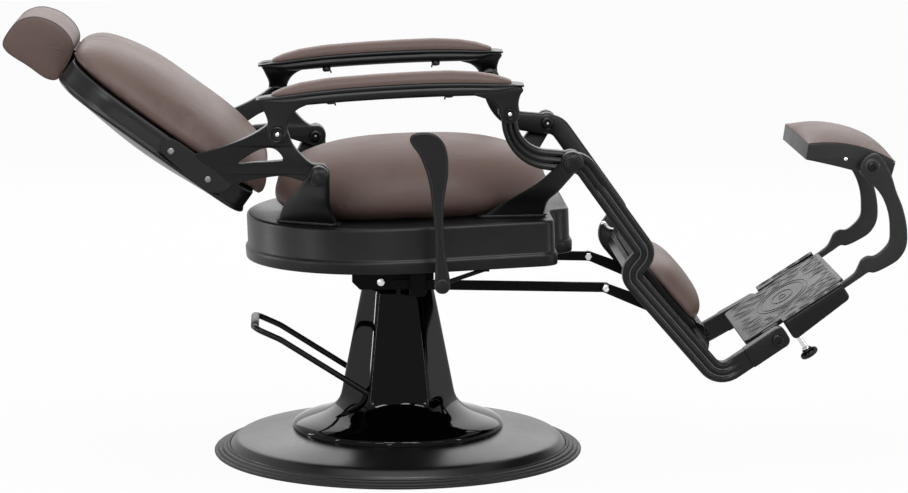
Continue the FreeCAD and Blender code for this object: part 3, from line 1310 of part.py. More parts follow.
def foot_plate():
    """Treaded plate with an ear on each side for the foot pivot."""
    low = FOOT_LEVEL - FOOT_THICK
    half = FOOT_HALF_WIDTH
    points = [V(FOOT_BACK, -half, low), V(FOOT_FRONT, -half, low)]
    points += [V(FOOT_FRONT, half, low), V(FOOT_BACK, half, low)]
    plate = Part.Face(rounded_wire(points, [FOOT_CORNER] * 4)).extrude(V(0, 0, FOOT_THICK))
    ear = foot_ear_faces()
    for side in (-1, 1):
        faces = sorted([side * ear[0], side * ear[1]])
        hub = disc((0, 0), FOOT_EAR_RADIUS, faces[0], faces[1])
        web = box((-FOOT_EAR_RADIUS, FOOT_EAR_RADIUS), faces, (0, FOOT_LEVEL - FOOT_EAR_STEP))
        plate = plate.fuse(hub).fuse(web)
    plate = plate.cut(disc((0, 0), FOOT_BOLT_RADIUS + RUN_FIT, -FAR, FAR))
    return in_foot(plate.fuse(tread_pieces()).removeSplitter())


def tread_pieces():
    """Raised ribs either side of a plain oval ring, in the footrest's frame."""
    long_half, wide_half, ring = TREAD_RING
    centre = V((FOOT_BACK + FOOT_FRONT) / 2, 0, FOOT_LEVEL)

    def oval(grow):
        curve = Part.Ellipse(centre, long_half + grow, wide_half + grow)
        return Part.Face(Part.Wire(curve.toShape())).extrude(V(0, 0, TREAD_HEIGHT))

    pieces = [oval(0).cut(oval(-ring))]
    keep_out = oval(TREAD_PITCH / 2)
    x_range = (FOOT_BACK + TREAD_MARGIN, FOOT_FRONT - TREAD_MARGIN)
    count = int((FOOT_HALF_WIDTH - TREAD_MARGIN) // TREAD_PITCH)
    for step in range(-count, count + 1):
        y_range = (step * TREAD_PITCH - TREAD_RIB / 2, step * TREAD_PITCH + TREAD_RIB / 2)
        rib = box(x_range, y_range, (FOOT_LEVEL, FOOT_LEVEL + TREAD_HEIGHT))
        pieces += rib.cut(keep_out).Solids
    return pieces


def foot_block():
    """Side block under the plate's edge, with a channel that guides a heel arm."""
    inner = HEEL_ARM_FACE - SLIDE_GAP
    outer = BLOCK_FACE + BLOCK_WALL
    low = [(BLOCK_BACK, BLOCK_LOW_BACK), (BLOCK_FRONT, BLOCK_LOW_FRONT)]
    floor = slab(low + [(BLOCK_FRONT, BLOCK_FLOOR), (BLOCK_BACK, BLOCK_FLOOR)], inner, BLOCK_FACE)
    wall = slab(low + [(BLOCK_FRONT, FOOT_LEVEL), (BLOCK_BACK, FOOT_LEVEL)], BLOCK_FACE, outer)
    under = FOOT_LEVEL - FOOT_THICK
    tongue_top = BLOCK_FLOOR - HEEL_TIE_THICK
    reach = FOOT_HALF_WIDTH - TONGUE_REACH
    tongue_low = tongue_top - TONGUE_THICK
    tongue = box((BLOCK_BACK + TONGUE_START, BLOCK_FRONT), (reach, inner), (tongue_low, tongue_top))
    riser_end = FOOT_HALF_WIDTH - SLIDE_GAP
    riser = box((BLOCK_FRONT - RISER_LENGTH, BLOCK_FRONT), (reach, riser_end), (tongue_top, under))
    body = floor.fuse(wall).fuse(tongue).fuse(riser)
    body = body.cut(upright(PLUNGER_RADIUS + RUN_FIT, -FAR, BLOCK_FLOOR, PLUNGER_X, PLUNGER_Y))
    return in_foot(body.removeSplitter())


def latch_plunger():
    """Latch pin under the right heel arm, with a round knob on its end."""
    top = BLOCK_FLOOR - SLIDE_GAP
    knob_top = top - PLUNGER_REACH
    knob = upright(KNOB_RADIUS, knob_top - KNOB_HEIGHT, knob_top, PLUNGER_X, -PLUNGER_Y)
    rims = [item for item in knob.Edges if item.BoundBox.ZLength < TINY]
    knob = knob.makeFillet(KNOB_EDGE, rims)
    return in_foot(knob.fuse(upright(PLUNGER_RADIUS, knob_top - KNOB_EDGE, top, PLUNGER_X, -PLUNGER_Y)))


# Heel rest

def heel_arm():
    """Flat arm along the block's channel that bends up to the heel pivot."""
    level = HEEL_ARM_LEVEL
    middle = HEEL_ARM_FACE + HEEL_ARM_THICK / 2
    points = [V(HEEL_ARM_START, middle, level), V(HEEL_ARM_CORNER[0], middle, level + HEEL_ARM_CORNER[1]),
              V(HEEL_PIVOT_LOCAL[0], middle, HEEL_PIVOT_LOCAL[1])]
    path = rounded_wire(points, [0, HEEL_ARM_RADIUS, 0], closed=False)
    half_width, half_thick = HEEL_ARM_WIDTH / 2, HEEL_ARM_THICK / 2
    corners = [V(points[0].x, middle + half_thick * side, level + half_width * rise)
               for side, rise in ((-1, -1), (1, -1), (1, 1), (-1, 1))]
    body = swept(Part.makePolygon(corners + corners[:1]), path)
    faces = (HEEL_ARM_FACE, HEEL_ARM_FACE + HEEL_ARM_THICK)
    body = body.fuse(disc(HEEL_PIVOT_LOCAL, HEEL_BOSS_RADIUS, *faces))
    return body.cut(disc(HEEL_PIVOT_LOCAL, HEEL_BOLT_RADIUS, *faces)).removeSplitter()


def heel_frame():
    """Two heel arms joined by a flat tie under the foot plate."""
    top = FOOT_LEVEL - FOOT_THICK - SLIDE_GAP
    reach = HEEL_ARM_FACE + HEEL_ARM_THICK / 2
    x_range = (HEEL_TIE_START, HEEL_TIE_START + HEEL_TIE_WIDTH)
    tie = box(x_range, (-reach, reach), (top - HEEL_TIE_THICK, top))
    arm = heel_arm()
    return in_foot(tie.fuse(arm).fuse(mirrored(arm)).removeSplitter())


def heel_bolt():
    """Bolt through a heel arm into the tray."""
    outer = HEEL_ARM_FACE + HEEL_ARM_THICK
    inner = TRAY_HALF_WIDTH - HEEL_BOLT_REACH
    bolt = pin(HEEL_PIVOT_LOCAL, HEEL_BOLT_RADIUS, inner, outer, HEEL_BOLT_HEAD, HEEL_BOLT_HEAD_THICK)
    return in_foot(bolt)


def heel_pivot():
    """Heel pivot in the chair's frame, as (x, z)."""
    slope = math.radians(FOOT_SLOPE)
    x, z = HEEL_PIVOT_LOCAL
    return (FOOT_PIVOT[0] + x * math.cos(slope) - z * math.sin(slope),
            FOOT_PIVOT[1] + x * math.sin(slope) + z * math.cos(slope))


def heel_place(point, y):
    """Point given from the heel pivot, in the chair's frame."""
    pivot = heel_pivot()
    return V(pivot[0] + point[0], y, pivot[1] + point[1])


def heel_tray():
    """Curved tray that carries the heel pad."""
    y = -TRAY_HALF_WIDTH
    bottom = [heel_place(point, y) for point in TRAY_BOTTOM]
    top = [heel_place(point, y) for point in TRAY_TOP]
    edges = [Part.Arc(*bottom).toShape(), Part.makeLine(bottom[2], top[2]),
             Part.Arc(*reversed(top)).toShape(), Part.makeLine(top[0], bottom[0])]
    tray = Part.Face(Part.Wire(edges)).extrude(V(0, 2 * TRAY_HALF_WIDTH, 0))
    pivot = heel_pivot()
    inner = TRAY_HALF_WIDTH - HEEL_BOLT_REACH - HEEL_BORE_SPARE
    bore = disc(pivot, HEEL_BOLT_RADIUS + RUN_FIT, inner, TRAY_HALF_WIDTH)
    return tray.cut(bore).cut(mirrored(bore))


def heel_pad():
    """Plain solid of the heel pad on its tray."""
    half = TRAY_HALF_WIDTH - HEEL_PAD_INSET
    lift = V(0, 0, SOFT_GAP)
    low = [heel_place(point, -half) + lift for point in TRAY_TOP]
    crown = [heel_place(point, -half) for point in HEEL_PAD_CROWN]
    edges = [Part.Arc(*low).toShape(), Part.makeLine(low[2], crown[2]), Part.Arc(*reversed(crown)).toShape(),
             Part.makeLine(crown[0], low[0])]
    return Part.Face(Part.Wire(edges)).extrude(V(0, 2 * half, 0))


# Assembly

def build():
    """Make every node of the chair."""
    parts = {
        "base_plate": base_plate(), "base_trim": base_trim(), "column_cover": column_cover(),
        "pump_cylinder": pump_cylinder(), "cylinder_gland": cylinder_gland(), "pump_bolts": pump_bolts(),
        "pedal_loop": pedal_loop(), "pedal_grip": pedal_grip(),
        "ram": ram(), "thrust_washer": thrust_washer(),
        "seat_support": seat_support(), "support_bolts": support_bolts(), "seat_pan": seat_pan(),
        "seat_cushion": seat_cushion(), "lug_screws": lug_screws(), "lock_shaft": lock_shaft(),
        "lock_lever": lock_lever(), "lever_brace": lever_brace(), "back_shell": back_shell(),
        "back_board": back_board(), "back_cushion": back_cushion(), "bracket_bolts": bracket_bolts(),
        "headrest_socket": headrest_socket(), "headrest_frame": headrest_frame(),
        "headrest_pad": headrest_pad(), "cross_bars": cross_bars(),
        "shin_panel": shin_panel(), "shin_pad": shin_pad(), "foot_plate": foot_plate(),
        "latch_plunger": latch_plunger(), "heel_frame": heel_frame(),
        "heel_tray": heel_tray(), "heel_pad": heel_pad(),
        "rear_pivot_pins": pair(side_pin(REAR_PIVOT)), "front_pivot_pins": pair(side_pin(FRONT_PIVOT)),
        "arm_rear_pins": pair(side_pin(ARM_REAR_PIVOT)), "arm_front_pins": pair(side_pin(ARM_FRONT_PIVOT)),
        "seat_rails": pair(seat_rail()), "guide_brackets": pair(guide_bracket()),
        "strut_pins": pair(strut_pin()), "foot_bolts": pair(foot_bolt()), "heel_bolts": pair(heel_bolt()),
        "foot_blocks": pair(foot_block()), "strut_bars": pair(strut_bar()), "strut_links": pair(strut_link()),
        "knee_bolts": pair(knee_bolt()),
        "lock_guides": pair(lock_guide()), "rear_lugs": pair(lug(REAR_LUG_FOOT, REAR_PIVOT)),
        "front_lugs": pair(lug(FRONT_LUG_FOOT, FRONT_PIVOT)),
    }
    sides(parts, "back_bracket", back_bracket())
    sides(parts, "arm_frame", arm_frame())
    sides(parts, "arm_pad", arm_pad())
    sides(parts, "arm_screws", arm_screws())
    sides(parts, "leg_side", leg_side())
    return parts


def main():
    """Write one file for each node."""
    os.makedirs("parts", exist_ok=True)
    for name, shape in build().items():
        shape.exportStep("parts/" + name + ".step")


main()
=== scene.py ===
import logging
import math
from collections.abc import Callable, Sequence
from dataclasses import dataclass
from enum import Enum

import bmesh
import bpy
import numpy as np
from mathutils import Matrix, Vector
from mathutils.geometry import tessellate_polygon


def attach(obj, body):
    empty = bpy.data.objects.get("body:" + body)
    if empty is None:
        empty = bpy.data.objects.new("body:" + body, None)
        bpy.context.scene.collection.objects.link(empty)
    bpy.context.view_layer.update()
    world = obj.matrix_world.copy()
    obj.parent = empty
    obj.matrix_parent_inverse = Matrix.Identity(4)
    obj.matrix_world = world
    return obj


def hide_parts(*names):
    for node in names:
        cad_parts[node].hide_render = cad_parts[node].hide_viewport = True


# A reclined barber chair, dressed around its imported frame.
# Sizes are in millimetres in the chair's frame: +X is the front, +Z is up, right is -Y.

Flat = tuple[float, float]
Space = tuple[float, float, float]
Outline = tuple[Flat, ...]
Plan = Callable[[np.ndarray], tuple[np.ndarray, np.ndarray]]
Move = Callable[[np.ndarray], np.ndarray]
Tree = bpy.types.NodeTree
Node = bpy.types.Node
Socket = bpy.types.NodeSocket
Item = bpy.types.Object

LOG = logging.getLogger("barber_chair")
MM = 0.001

# Cloth simulation: size of the remesh in metres, frames, pressure and smoothing passes
VOXEL = 0.006
CLOTH_FRAMES = 20
CLOTH_PRESSURE = 4.0
EASE_PASSES = 4

# Shading shared by all finishes
MOTTLE_SCALE = 14.0
ROUGHNESS_SPREAD = 0.12
BUMP_STRENGTH = 0.6

# Samples round large, soft and small turned shapes
LARGE_STEPS = 192
SOFT_STEPS = 220
BOSS_STEPS = 48
HEAD_STEPS = 36

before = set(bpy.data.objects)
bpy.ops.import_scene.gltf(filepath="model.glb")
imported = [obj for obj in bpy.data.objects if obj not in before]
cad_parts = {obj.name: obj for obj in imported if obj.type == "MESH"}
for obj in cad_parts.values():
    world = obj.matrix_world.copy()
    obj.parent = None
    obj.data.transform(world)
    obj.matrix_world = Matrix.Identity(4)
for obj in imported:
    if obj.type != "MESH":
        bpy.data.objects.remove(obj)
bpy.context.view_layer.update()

# Places shared by several sub-assemblies, as (x, z)
REAR_PIVOT = (-147.0, 553.0)
ARM_REAR_PIVOT = (-219.0, 629.0)
ARM_FRONT_PIVOT = (186.0, 662.0)
FRONT_PIVOT = (296.0, 575.0)
FOOT_PIVOT = (680.0, 233.0)
STRUT_KNEE = (368.0, 331.0)
HEEL_PIVOT = (850.1, 544.9)
LEG_BEND = (404.0, 364.0)
LEG_TOE = (573.0, 167.0)

# Layers across the chair: the castings' inner one, and the lugs' and arms' outer one
INNER_FACE = 264.0
INNER_END = 292.0
OUTER_FACE = 296.0
OUTER_END = 318.0
OUTER_MIDDLE = (OUTER_FACE + OUTER_END) / 2
BOSS_LENGTH = 27.6
SEAT_LEVEL = 457.0
ARM_MIDDLE = (-22.0, 290.0, 697.0)
ARM_TILT = 2.9


class Side(Enum):
    """The two sides of the chair."""

    LEFT = 1
    RIGHT = -1

    @property
    def tag(self) -> str:
        """Word that ends the names of this side's pieces."""
        return self.name.lower()


class Grain(Enum):
    """Relief of a finish."""

    HIDE = "hide"
    CAST = "cast"
    BRUSHED = "brushed"


# Finishes

@dataclass(frozen=True)
class Finish:
    """A surface finish. The colour is linear, the grain's scale is per metre and its depth in millimetres."""

    slot: str
    colour: Space
    roughness: float
    grain: Grain
    grain_scale: float
    grain_depth: float
    metallic: float = 0.0
    specular: float = 0.5
    spread: float = 0.12
    # Grey that convex edges are lightened towards: a painted highlight on the edges
    edge_highlight: float = 0.0
    label: str = ""

    @property
    def name(self) -> str:
        """Name of the finish's material."""
        return self.label or self.slot


LEATHER = Finish("brown_leather", (0.146, 0.0965, 0.0825), 0.52, Grain.HIDE, 620.0, 0.10, specular=0.20,
                 spread=0.07)
PIPING = Finish("brown_leather", (0.070, 0.044, 0.037), 0.55, Grain.HIDE, 900.0, 0.06, specular=0.3,
                label="leather_piping")
GLOSS = Finish("gloss_black", (0.0015, 0.0015, 0.0016), 0.04, Grain.CAST, 30.0, 0.008, specular=0.1,
               spread=0.06)
SATIN = Finish("satin_black", (0.006, 0.006, 0.0063), 0.38, Grain.CAST, 900.0, 0.02, specular=0.17, edge_highlight=0.03)
DISC = Finish("satin_black", (0.006, 0.006, 0.0063), 0.31, Grain.CAST, 900.0, 0.015, specular=0.24, edge_highlight=0.03,
              label="disc_black")
# A darker, duller copy of satin black: painted shade for parts that sit in shade under the seat, behind the
# headrest and under the shin pad
SHADE_BLACK = Finish("satin_black", (0.0025, 0.0025, 0.0027), 0.48, Grain.CAST, 900.0, 0.02, specular=0.06,
              label="painted_shade_black")
CAST = Finish("cast_black", (0.0062, 0.0062, 0.0065), 0.40, Grain.CAST, 700.0, 0.03, specular=0.19, edge_highlight=0.05)
HEEL = Finish("cast_black", (0.020, 0.020, 0.0205), 0.42, Grain.CAST, 700.0, 0.03, specular=0.24, edge_highlight=0.05,
              label="heel_cast")
# Light grey for the beads on the leg castings: painted highlight lines along their grooves
BEAD_HIGHLIGHT = Finish("cast_black", (0.11, 0.11, 0.112), 0.34, Grain.CAST, 900.0, 0.01, specular=0.3,
              label="painted_bead_highlight")
BOLT_BLACK = Finish("cast_black", (0.004, 0.004, 0.0043), 0.30, Grain.CAST, 900.0, 0.01, specular=0.2,
                    label="bolt_black")
SHELL = Finish("shell_plastic", (0.006, 0.0062, 0.0066), 0.33, Grain.CAST, 1200.0, 0.012, specular=0.21)
RING = Finish("ring_rubber", (0.010, 0.010, 0.0105), 0.50, Grain.CAST, 500.0, 0.04, specular=0.22)
GRIP = Finish("grip_rubber", (0.060, 0.060, 0.062), 0.46, Grain.CAST, 600.0, 0.04, specular=0.45)
BOARD = Finish("board", (0.006, 0.0055, 0.005), 0.60, Grain.CAST, 300.0, 0.10, specular=0.12)
STEEL = Finish("bright_steel", (0.66, 0.66, 0.67), 0.24, Grain.BRUSHED, 500.0, 0.01, metallic=1.0,
               spread=0.05)
ZINC = Finish("zinc_fasteners", (0.52, 0.52, 0.54), 0.34, Grain.BRUSHED, 600.0, 0.01, metallic=1.0,
              spread=0.06)
DULL_ZINC = Finish("zinc_fasteners", (0.15, 0.15, 0.155), 0.36, Grain.BRUSHED, 600.0, 0.01, metallic=1.0,
                   label="dull_zinc")
CHROME = Finish("chrome_rod", (0.74, 0.74, 0.75), 0.10, Grain.BRUSHED, 400.0, 0.005, metallic=1.0,
                spread=0.04)
BRONZE = Finish("bronze", (0.42, 0.25, 0.09), 0.38, Grain.BRUSHED, 500.0, 0.01, metallic=1.0, spread=0.08)


def wire(tree: Tree, node: Node, inputs: dict) -> None:
    """Link or set inputs of a node.

    Args:
        tree: the node's tree.
        node: the node.
        inputs: sockets to link from and values to set, by the input's name or number.
    """
    for key, value in inputs.items():
        if isinstance(value, Socket):
            tree.links.new(value, node.inputs[key])
        else:
            node.inputs[key].default_value = value


def add_node(tree: Tree, kind: str, inputs: dict, **settings: str) -> Node:
    """Add a shader node to a tree.

    Args:
        tree: the tree that gets the node.
        kind: the node's type without its common prefix.
        inputs: its inputs, as for wire.
        settings: its other properties.

    Returns:
        The node.
    """
    node = tree.nodes.new("ShaderNode" + kind)
    for name, value in settings.items():
        setattr(node, name, value)
    wire(tree, node, inputs)
    return node


class FinishShop:
    """Makes the shared node groups once, and a material for each finish."""

    def __init__(self) -> None:
        """Build the node groups."""
        self.made: dict[str, bpy.types.Material] = {}
        self.mottle = self._group("mottle", "Value", self._mottle)
        self.relief = {Grain.HIDE: self._group("hide_grain", "Height", self._hide),
                       Grain.CAST: self._group("cast_grain", "Height", self._cast),
                       Grain.BRUSHED: self._group("turned_grain", "Height", self._brushed)}
        self.edge = self._group("painted_edge_highlight", "Mask", self._painted_edge_highlight)

    @staticmethod
    def _group(name: str, output: str, fill: Callable[..., Socket]) -> Tree:
        """Node group from a surface point and a scale to one value.

        Args:
            name: the group's name.
            output: name of its output.
            fill: function that fills the tree after its input node and returns the result's socket.

        Returns:
            The group.
        """
        tree = bpy.data.node_groups.new(name, "ShaderNodeTree")
        tree.interface.new_socket("Vector", in_out="INPUT", socket_type="NodeSocketVector")
        tree.interface.new_socket("Scale", in_out="INPUT", socket_type="NodeSocketFloat")
        tree.interface.new_socket(output, in_out="OUTPUT", socket_type="NodeSocketFloat")
        result = fill(tree, tree.nodes.new("NodeGroupInput"))
        wire(tree, tree.nodes.new("NodeGroupOutput"), {output: result})
        return tree

    @staticmethod
    def _noise(tree: Tree, source: Node, factor: float,
               detail: float) -> Socket:
        """Noise driven by a group's Vector and Scale inputs.

        Args:
            tree: the tree that gets the nodes.
            source: the group's input node.
            factor: multiplier on the Scale input.
            detail: octaves of the noise.

        Returns:
            The socket of the noise.
        """
        scale = add_node(tree, "Math", {0: source.outputs["Scale"], 1: factor}, operation="MULTIPLY")
        inputs = {"Vector": source.outputs["Vector"], "Scale": scale.outputs[0], "Detail": detail}
        return add_node(tree, "TexNoise", inputs).outputs[0]

    @staticmethod
    def _ranged(tree: Tree, value: Socket, start: Flat, end: Flat,
                curve: str = "LINEAR") -> Socket:
        """Value mapped from one pair of limits to another.

        Args:
            tree: the tree that gets the node.
            value: socket to map.
            start: limits that come in.
            end: limits that go out.
            curve: how values between the limits are mapped.

        Returns:
            The socket of the result.
        """
        limits = dict(enumerate((*start, *end), start=1))
        return add_node(tree, "MapRange", {0: value, **limits}, interpolation_type=curve).outputs[0]

    @staticmethod
    def _weighted(tree: Tree, one: Socket, two: Socket,
                  share: float) -> Socket:
        """Mix of two values with this share of the second one."""
        return add_node(tree, "Mix", {0: share, 2: one, 3: two}).outputs[0]

    def _mottle(self, tree: Tree, source: Node) -> Socket:
        """Slow and fine unevenness from 0 to 1."""
        slow, fine = self._noise(tree, source, 1.0, 3.0), self._noise(tree, source, 9.0, 2.0)
        return self._ranged(tree, self._weighted(tree, slow, fine, 0.35), (0.3, 0.7), (0.0, 1.0))

    def _hide(self, tree: Tree, source: Node) -> Socket:
        """Pebbled leather: cells with soft creases, over a slow swell.

        Args:
            tree: the tree that gets the nodes.
            source: the group's input node.

        Returns:
            The socket of the result.
        """
        inputs = {name: source.outputs[name] for name in ("Vector", "Scale")}
        cells = add_node(tree, "TexVoronoi", inputs, feature="DISTANCE_TO_EDGE")
        pebble = self._ranged(tree, cells.outputs["Distance"], (0.0, 0.22), (0.0, 1.0), "SMOOTHSTEP")
        return self._weighted(tree, pebble, self._noise(tree, source, 0.3, 3.0), 0.4)

    def _cast(self, tree: Tree, source: Node) -> Socket:
        """Fine orange-peel texture of paint on a casting."""
        peel, speck = self._noise(tree, source, 1.0, 3.0), self._noise(tree, source, 3.1, 2.0)
        return self._weighted(tree, peel, speck, 0.4)

    def _brushed(self, tree: Tree, source: Node) -> Socket:
        """Fine turning marks."""
        return self._noise(tree, source, 4.0, 1.0)

    def _painted_edge_highlight(self, tree: Tree, source: Node) -> Socket:
        """Mask of convex edges that get a painted highlight, broken up by noise.

        Args:
            tree: the tree that gets the nodes.
            source: the group's input node.

        Returns:
            The socket of the result.
        """
        pointed = add_node(tree, "NewGeometry", {}).outputs["Pointiness"]
        edge = self._ranged(tree, pointed, (0.53, 0.60), (0.0, 1.0))
        patch = self._noise(tree, source, 0.1, 2.0)
        return add_node(tree, "Math", {0: edge, 1: patch}, operation="MULTIPLY").outputs[0]

    @staticmethod
    def _placed(tree: Tree, group: Tree, place: Socket,
                scale: float) -> Socket:
        """Put a surface group into a material.

        Args:
            tree: the material's tree.
            group: the shared group.
            place: socket with the surface point.
            scale: the group's scale.

        Returns:
            The socket of the group's result.
        """
        return add_node(tree, "Group", {"Vector": place, "Scale": scale}, node_tree=group).outputs[0]

    def material(self, finish: Finish) -> bpy.types.Material:
        """Material of a finish, made on first use.

        Args:
            finish: the finish to make.

        Returns:
            The material.
        """
        if finish.name in self.made:
            return self.made[finish.name]
        material = bpy.data.materials.new(finish.name)
        material.use_nodes = True
        tree = material.node_tree
        place = add_node(tree, "TexCoord", {}).outputs["Object"]
        mottle = self._placed(tree, self.mottle, place, MOTTLE_SCALE)
        low, high = ((*(part * share for part in finish.colour), 1.0)
                     for share in (1 - finish.spread, 1 + finish.spread))
        colour = add_node(tree, "Mix", {0: mottle, 6: low, 7: high}, data_type="RGBA").outputs[2]
        # Convex edges are lightened towards grey: a painted highlight
        if finish.edge_highlight:
            mask = self._placed(tree, self.edge, place, finish.grain_scale)
            edge_light_grey = (finish.edge_highlight, finish.edge_highlight, finish.edge_highlight, 1.0)
            colour = add_node(tree, "Mix", {0: mask, 6: colour, 7: edge_light_grey}, data_type="RGBA").outputs[2]
        limits = (finish.roughness * (1 - ROUGHNESS_SPREAD), finish.roughness * (1 + ROUGHNESS_SPREAD))
        height = self._placed(tree, self.relief[finish.grain], place, finish.grain_scale)
        bump = add_node(tree, "Bump", {"Strength": BUMP_STRENGTH, "Distance": finish.grain_depth * MM,
                                       "Height": height})
        wire(tree, tree.nodes["Principled BSDF"], {
            "Metallic": finish.metallic, "Specular IOR Level": finish.specular, "Base Color": colour,
            "Roughness": self._ranged(tree, mottle, (0.0, 1.0), limits), "Normal": bump.outputs["Normal"]})
        self.made[finish.name] = material
        return material


# Shapes

@dataclass
class Shape:
    """Mesh data in millimetres."""

    verts: np.ndarray
    faces: list[tuple[int, ...]]

    def placed(self, matrix: Matrix) -> "Shape":
        """The shape moved by a matrix in millimetres."""
        turn = np.array(matrix.to_3x3())
        return Shape(self.verts @ turn.T + np.array(matrix.translation), self.faces)

    def mirrored(self) -> "Shape":
        """The shape on the other side of the chair."""
        return Shape(self.verts * np.array([1.0, -1.0, 1.0]), [face[::-1] for face in self.faces])

    def on(self, side: Side) -> "Shape":
        """A shape drawn on the left, put on a side."""
        return self if side is Side.LEFT else self.mirrored()

    def both(self) -> "Shape":
        """The shape and its mirror image."""
        return self + self.mirrored()

    def bent(self, move: Move) -> "Shape":
        """The shape with its points moved by a function."""
        return Shape(move(self.verts.copy()), self.faces)

    def __add__(self, other: "Shape") -> "Shape":
        """Both shapes in one mesh.

        Args:
            other: the shape to add.

        Returns:
            The shape.
        """
        first = len(self.verts)
        shifted = [tuple(index + first for index in face) for face in other.faces]
        return Shape(np.vstack([self.verts, other.verts]), self.faces + shifted)


def total(shapes: Sequence[Shape]) -> Shape:
    """All shapes in one mesh.

    Args:
        shapes: the shapes.

    Returns:
        The shape.
    """
    result = shapes[0]
    for shape in shapes[1:]:
        result = result + shape
    return result


def circle(count: int) -> np.ndarray:
    """Angles at an even spacing round a full turn."""
    return np.linspace(0.0, 2 * math.pi, count, endpoint=False)


def polar(reach: np.ndarray | float, turns: np.ndarray) -> np.ndarray:
    """Flat points at these distances and angles from the origin."""
    return np.column_stack([reach * np.cos(turns), reach * np.sin(turns)])


def lengths(line: np.ndarray) -> np.ndarray:
    """Distance along a line at each of its points."""
    return np.concatenate([[0.0], np.cumsum(np.linalg.norm(np.diff(line, axis=0), axis=1))])


def area(loop: np.ndarray) -> float:
    """Signed area of an outline."""
    after = np.roll(loop, -1, axis=0)
    return float(np.sum(loop[:, 0] * after[:, 1] - after[:, 0] * loop[:, 1])) / 2


def inward(loop: np.ndarray) -> np.ndarray:
    """Unit directions into an outline at each of its points.

    Args:
        loop: points of the outline.

    Returns:
        The directions.
    """
    ahead = np.roll(loop, -1, axis=0) - np.roll(loop, 1, axis=0)
    ahead /= np.linalg.norm(ahead, axis=1)[:, None]
    aside = np.column_stack([-ahead[:, 1], ahead[:, 0]])
    return aside if area(loop) > 0 else -aside


def at_y(flat: np.ndarray, y: float) -> np.ndarray:
    """Points from (x, z) ones, at a place along Y."""
    return np.column_stack([flat[:, 0], np.full(len(flat), y), flat[:, 1]])


def at_z(flat: np.ndarray, z: float | np.ndarray) -> np.ndarray:
    """Points from (x, y) ones, at a height or at a height each."""
    return np.column_stack([flat, np.full(len(flat), z)])


def rectangle(x: Flat, y: Flat) -> list[Flat]:
    """Corners of a rectangle between two pairs of limits."""
    return [(x[0], y[0]), (x[1], y[0]), (x[1], y[1]), (x[0], y[1])]


def smooth_step(value: np.ndarray | float, start: float, end: float) -> np.ndarray | float:
    """Ease from 0 at start to 1 at end."""
    share = np.clip((value - start) / (end - start), 0.0, 1.0)
    return share * share * (3 - 2 * share)


def spline(points: Sequence[Sequence[float]], steps: int = 8, closed: bool = True) -> np.ndarray:
    """Smooth curve through points.

    Args:
        points: places to pass through.
        steps: samples in each run.
        closed: whether the curve returns to its start.

    Returns:
        Sampled points.
    """
    places = np.array(points, float)
    count = len(places)
    result = []
    for index in range(count if closed else count - 1):
        if closed:
            before, start, end, after = (places[(index + shift) % count] for shift in (-1, 0, 1, 2))
        else:
            before, start = places[max(index - 1, 0)], places[index]
            end, after = places[index + 1], places[min(index + 2, count - 1)]
        gaps = [max(math.dist(one, two) ** 0.5, 1e-6)
                for one, two in ((before, start), (start, end), (end, after))]
        knots = np.cumsum([0.0, *gaps])
        for step in range(steps):
            at = knots[1] + (knots[2] - knots[1]) * step / steps
            low = _between(_between(before, start, knots[0], knots[1], at),
                           _between(start, end, knots[1], knots[2], at), knots[0], knots[2], at)
            high = _between(_between(start, end, knots[1], knots[2], at),
                            _between(end, after, knots[2], knots[3], at), knots[1], knots[3], at)
            result.append(_between(low, high, knots[1], knots[2], at))
    if not closed:
        result.append(places[-1])
    return np.array(result)


def _between(one: np.ndarray, two: np.ndarray, start: float, end: float, at: float) -> np.ndarray:
    """Point on the line that is at one at start and at two at end."""
    return one + (two - one) * ((at - start) / max(end - start, 1e-9))


def even(points: np.ndarray, spacing: float, closed: bool = True) -> np.ndarray:
    """Points at an even spacing along a line of points.

    Args:
        points: the line.
        spacing: distance between points.
        closed: whether the line returns to its start.

    Returns:
        The new points.
    """
    line = np.vstack([points, points[:1]]) if closed else points
    runs = lengths(line)
    count = max(int(round(runs[-1] / spacing)), 6)
    places = np.linspace(0.0, runs[-1], count, endpoint=not closed)
    return np.column_stack([np.interp(places, runs, line[:, axis]) for axis in range(line.shape[1])])


def rounded(points: Sequence[Sequence[float]], radii: Sequence[float], closed: bool = True,
            step: float = 6.0) -> np.ndarray:
    """Straight runs joined by tangent arcs.

    Args:
        points: corners in two or three dimensions.
        radii: radius at each corner, 0 for a sharp one.
        closed: whether the line returns to its start.
        step: degrees between samples of an arc.

    Returns:
        Sampled points.
    """
    places = [np.array(point, float) for point in points]
    count = len(places)
    result = []
    for index, (corner, radius) in enumerate(zip(places, radii)):
        if not radius or (not closed and index in (0, count - 1)):
            result.append(corner)
            continue
        back = places[index - 1] - corner
        forth = places[(index + 1) % count] - corner
        back /= np.linalg.norm(back)
        forth /= np.linalg.norm(forth)
        half = math.acos(max(-1.0, min(1.0, float(back @ forth)))) / 2
        inward = (back + forth) / np.linalg.norm(back + forth)
        centre = corner + inward * radius / math.sin(half)
        first, last = corner + back * radius / math.tan(half), corner + forth * radius / math.tan(half)
        sweep_angle = math.pi - 2 * half
        pieces = max(2, int(math.degrees(sweep_angle) / step))
        for part in range(pieces + 1):
            share = part / pieces
            near = math.sin((1 - share) * sweep_angle) / math.sin(sweep_angle)
            far = math.sin(share * sweep_angle) / math.sin(sweep_angle)
            result.append(centre + (first - centre) * near + (last - centre) * far)
    return np.array(result)


def oval(half_x: float, half_y: float, power: float = 2.0) -> Plan:
    """Plan of a superellipse.

    Args:
        half_x: half length.
        half_y: half width.
        power: 2 for an ellipse, more for squarer corners.

    Returns:
        Function from angles to x and y.
    """
    def plan(turns: np.ndarray) -> tuple[np.ndarray, np.ndarray]:
        """Points of the plan at these angles.

        Args:
            turns: the angles.

        Returns:
            The x and y of the points.
        """
        cosine, sine = np.cos(turns), np.sin(turns)
        return (half_x * np.sign(cosine) * np.abs(cosine) ** (2 / power),
                half_y * np.sign(sine) * np.abs(sine) ** (2 / power))
    return plan


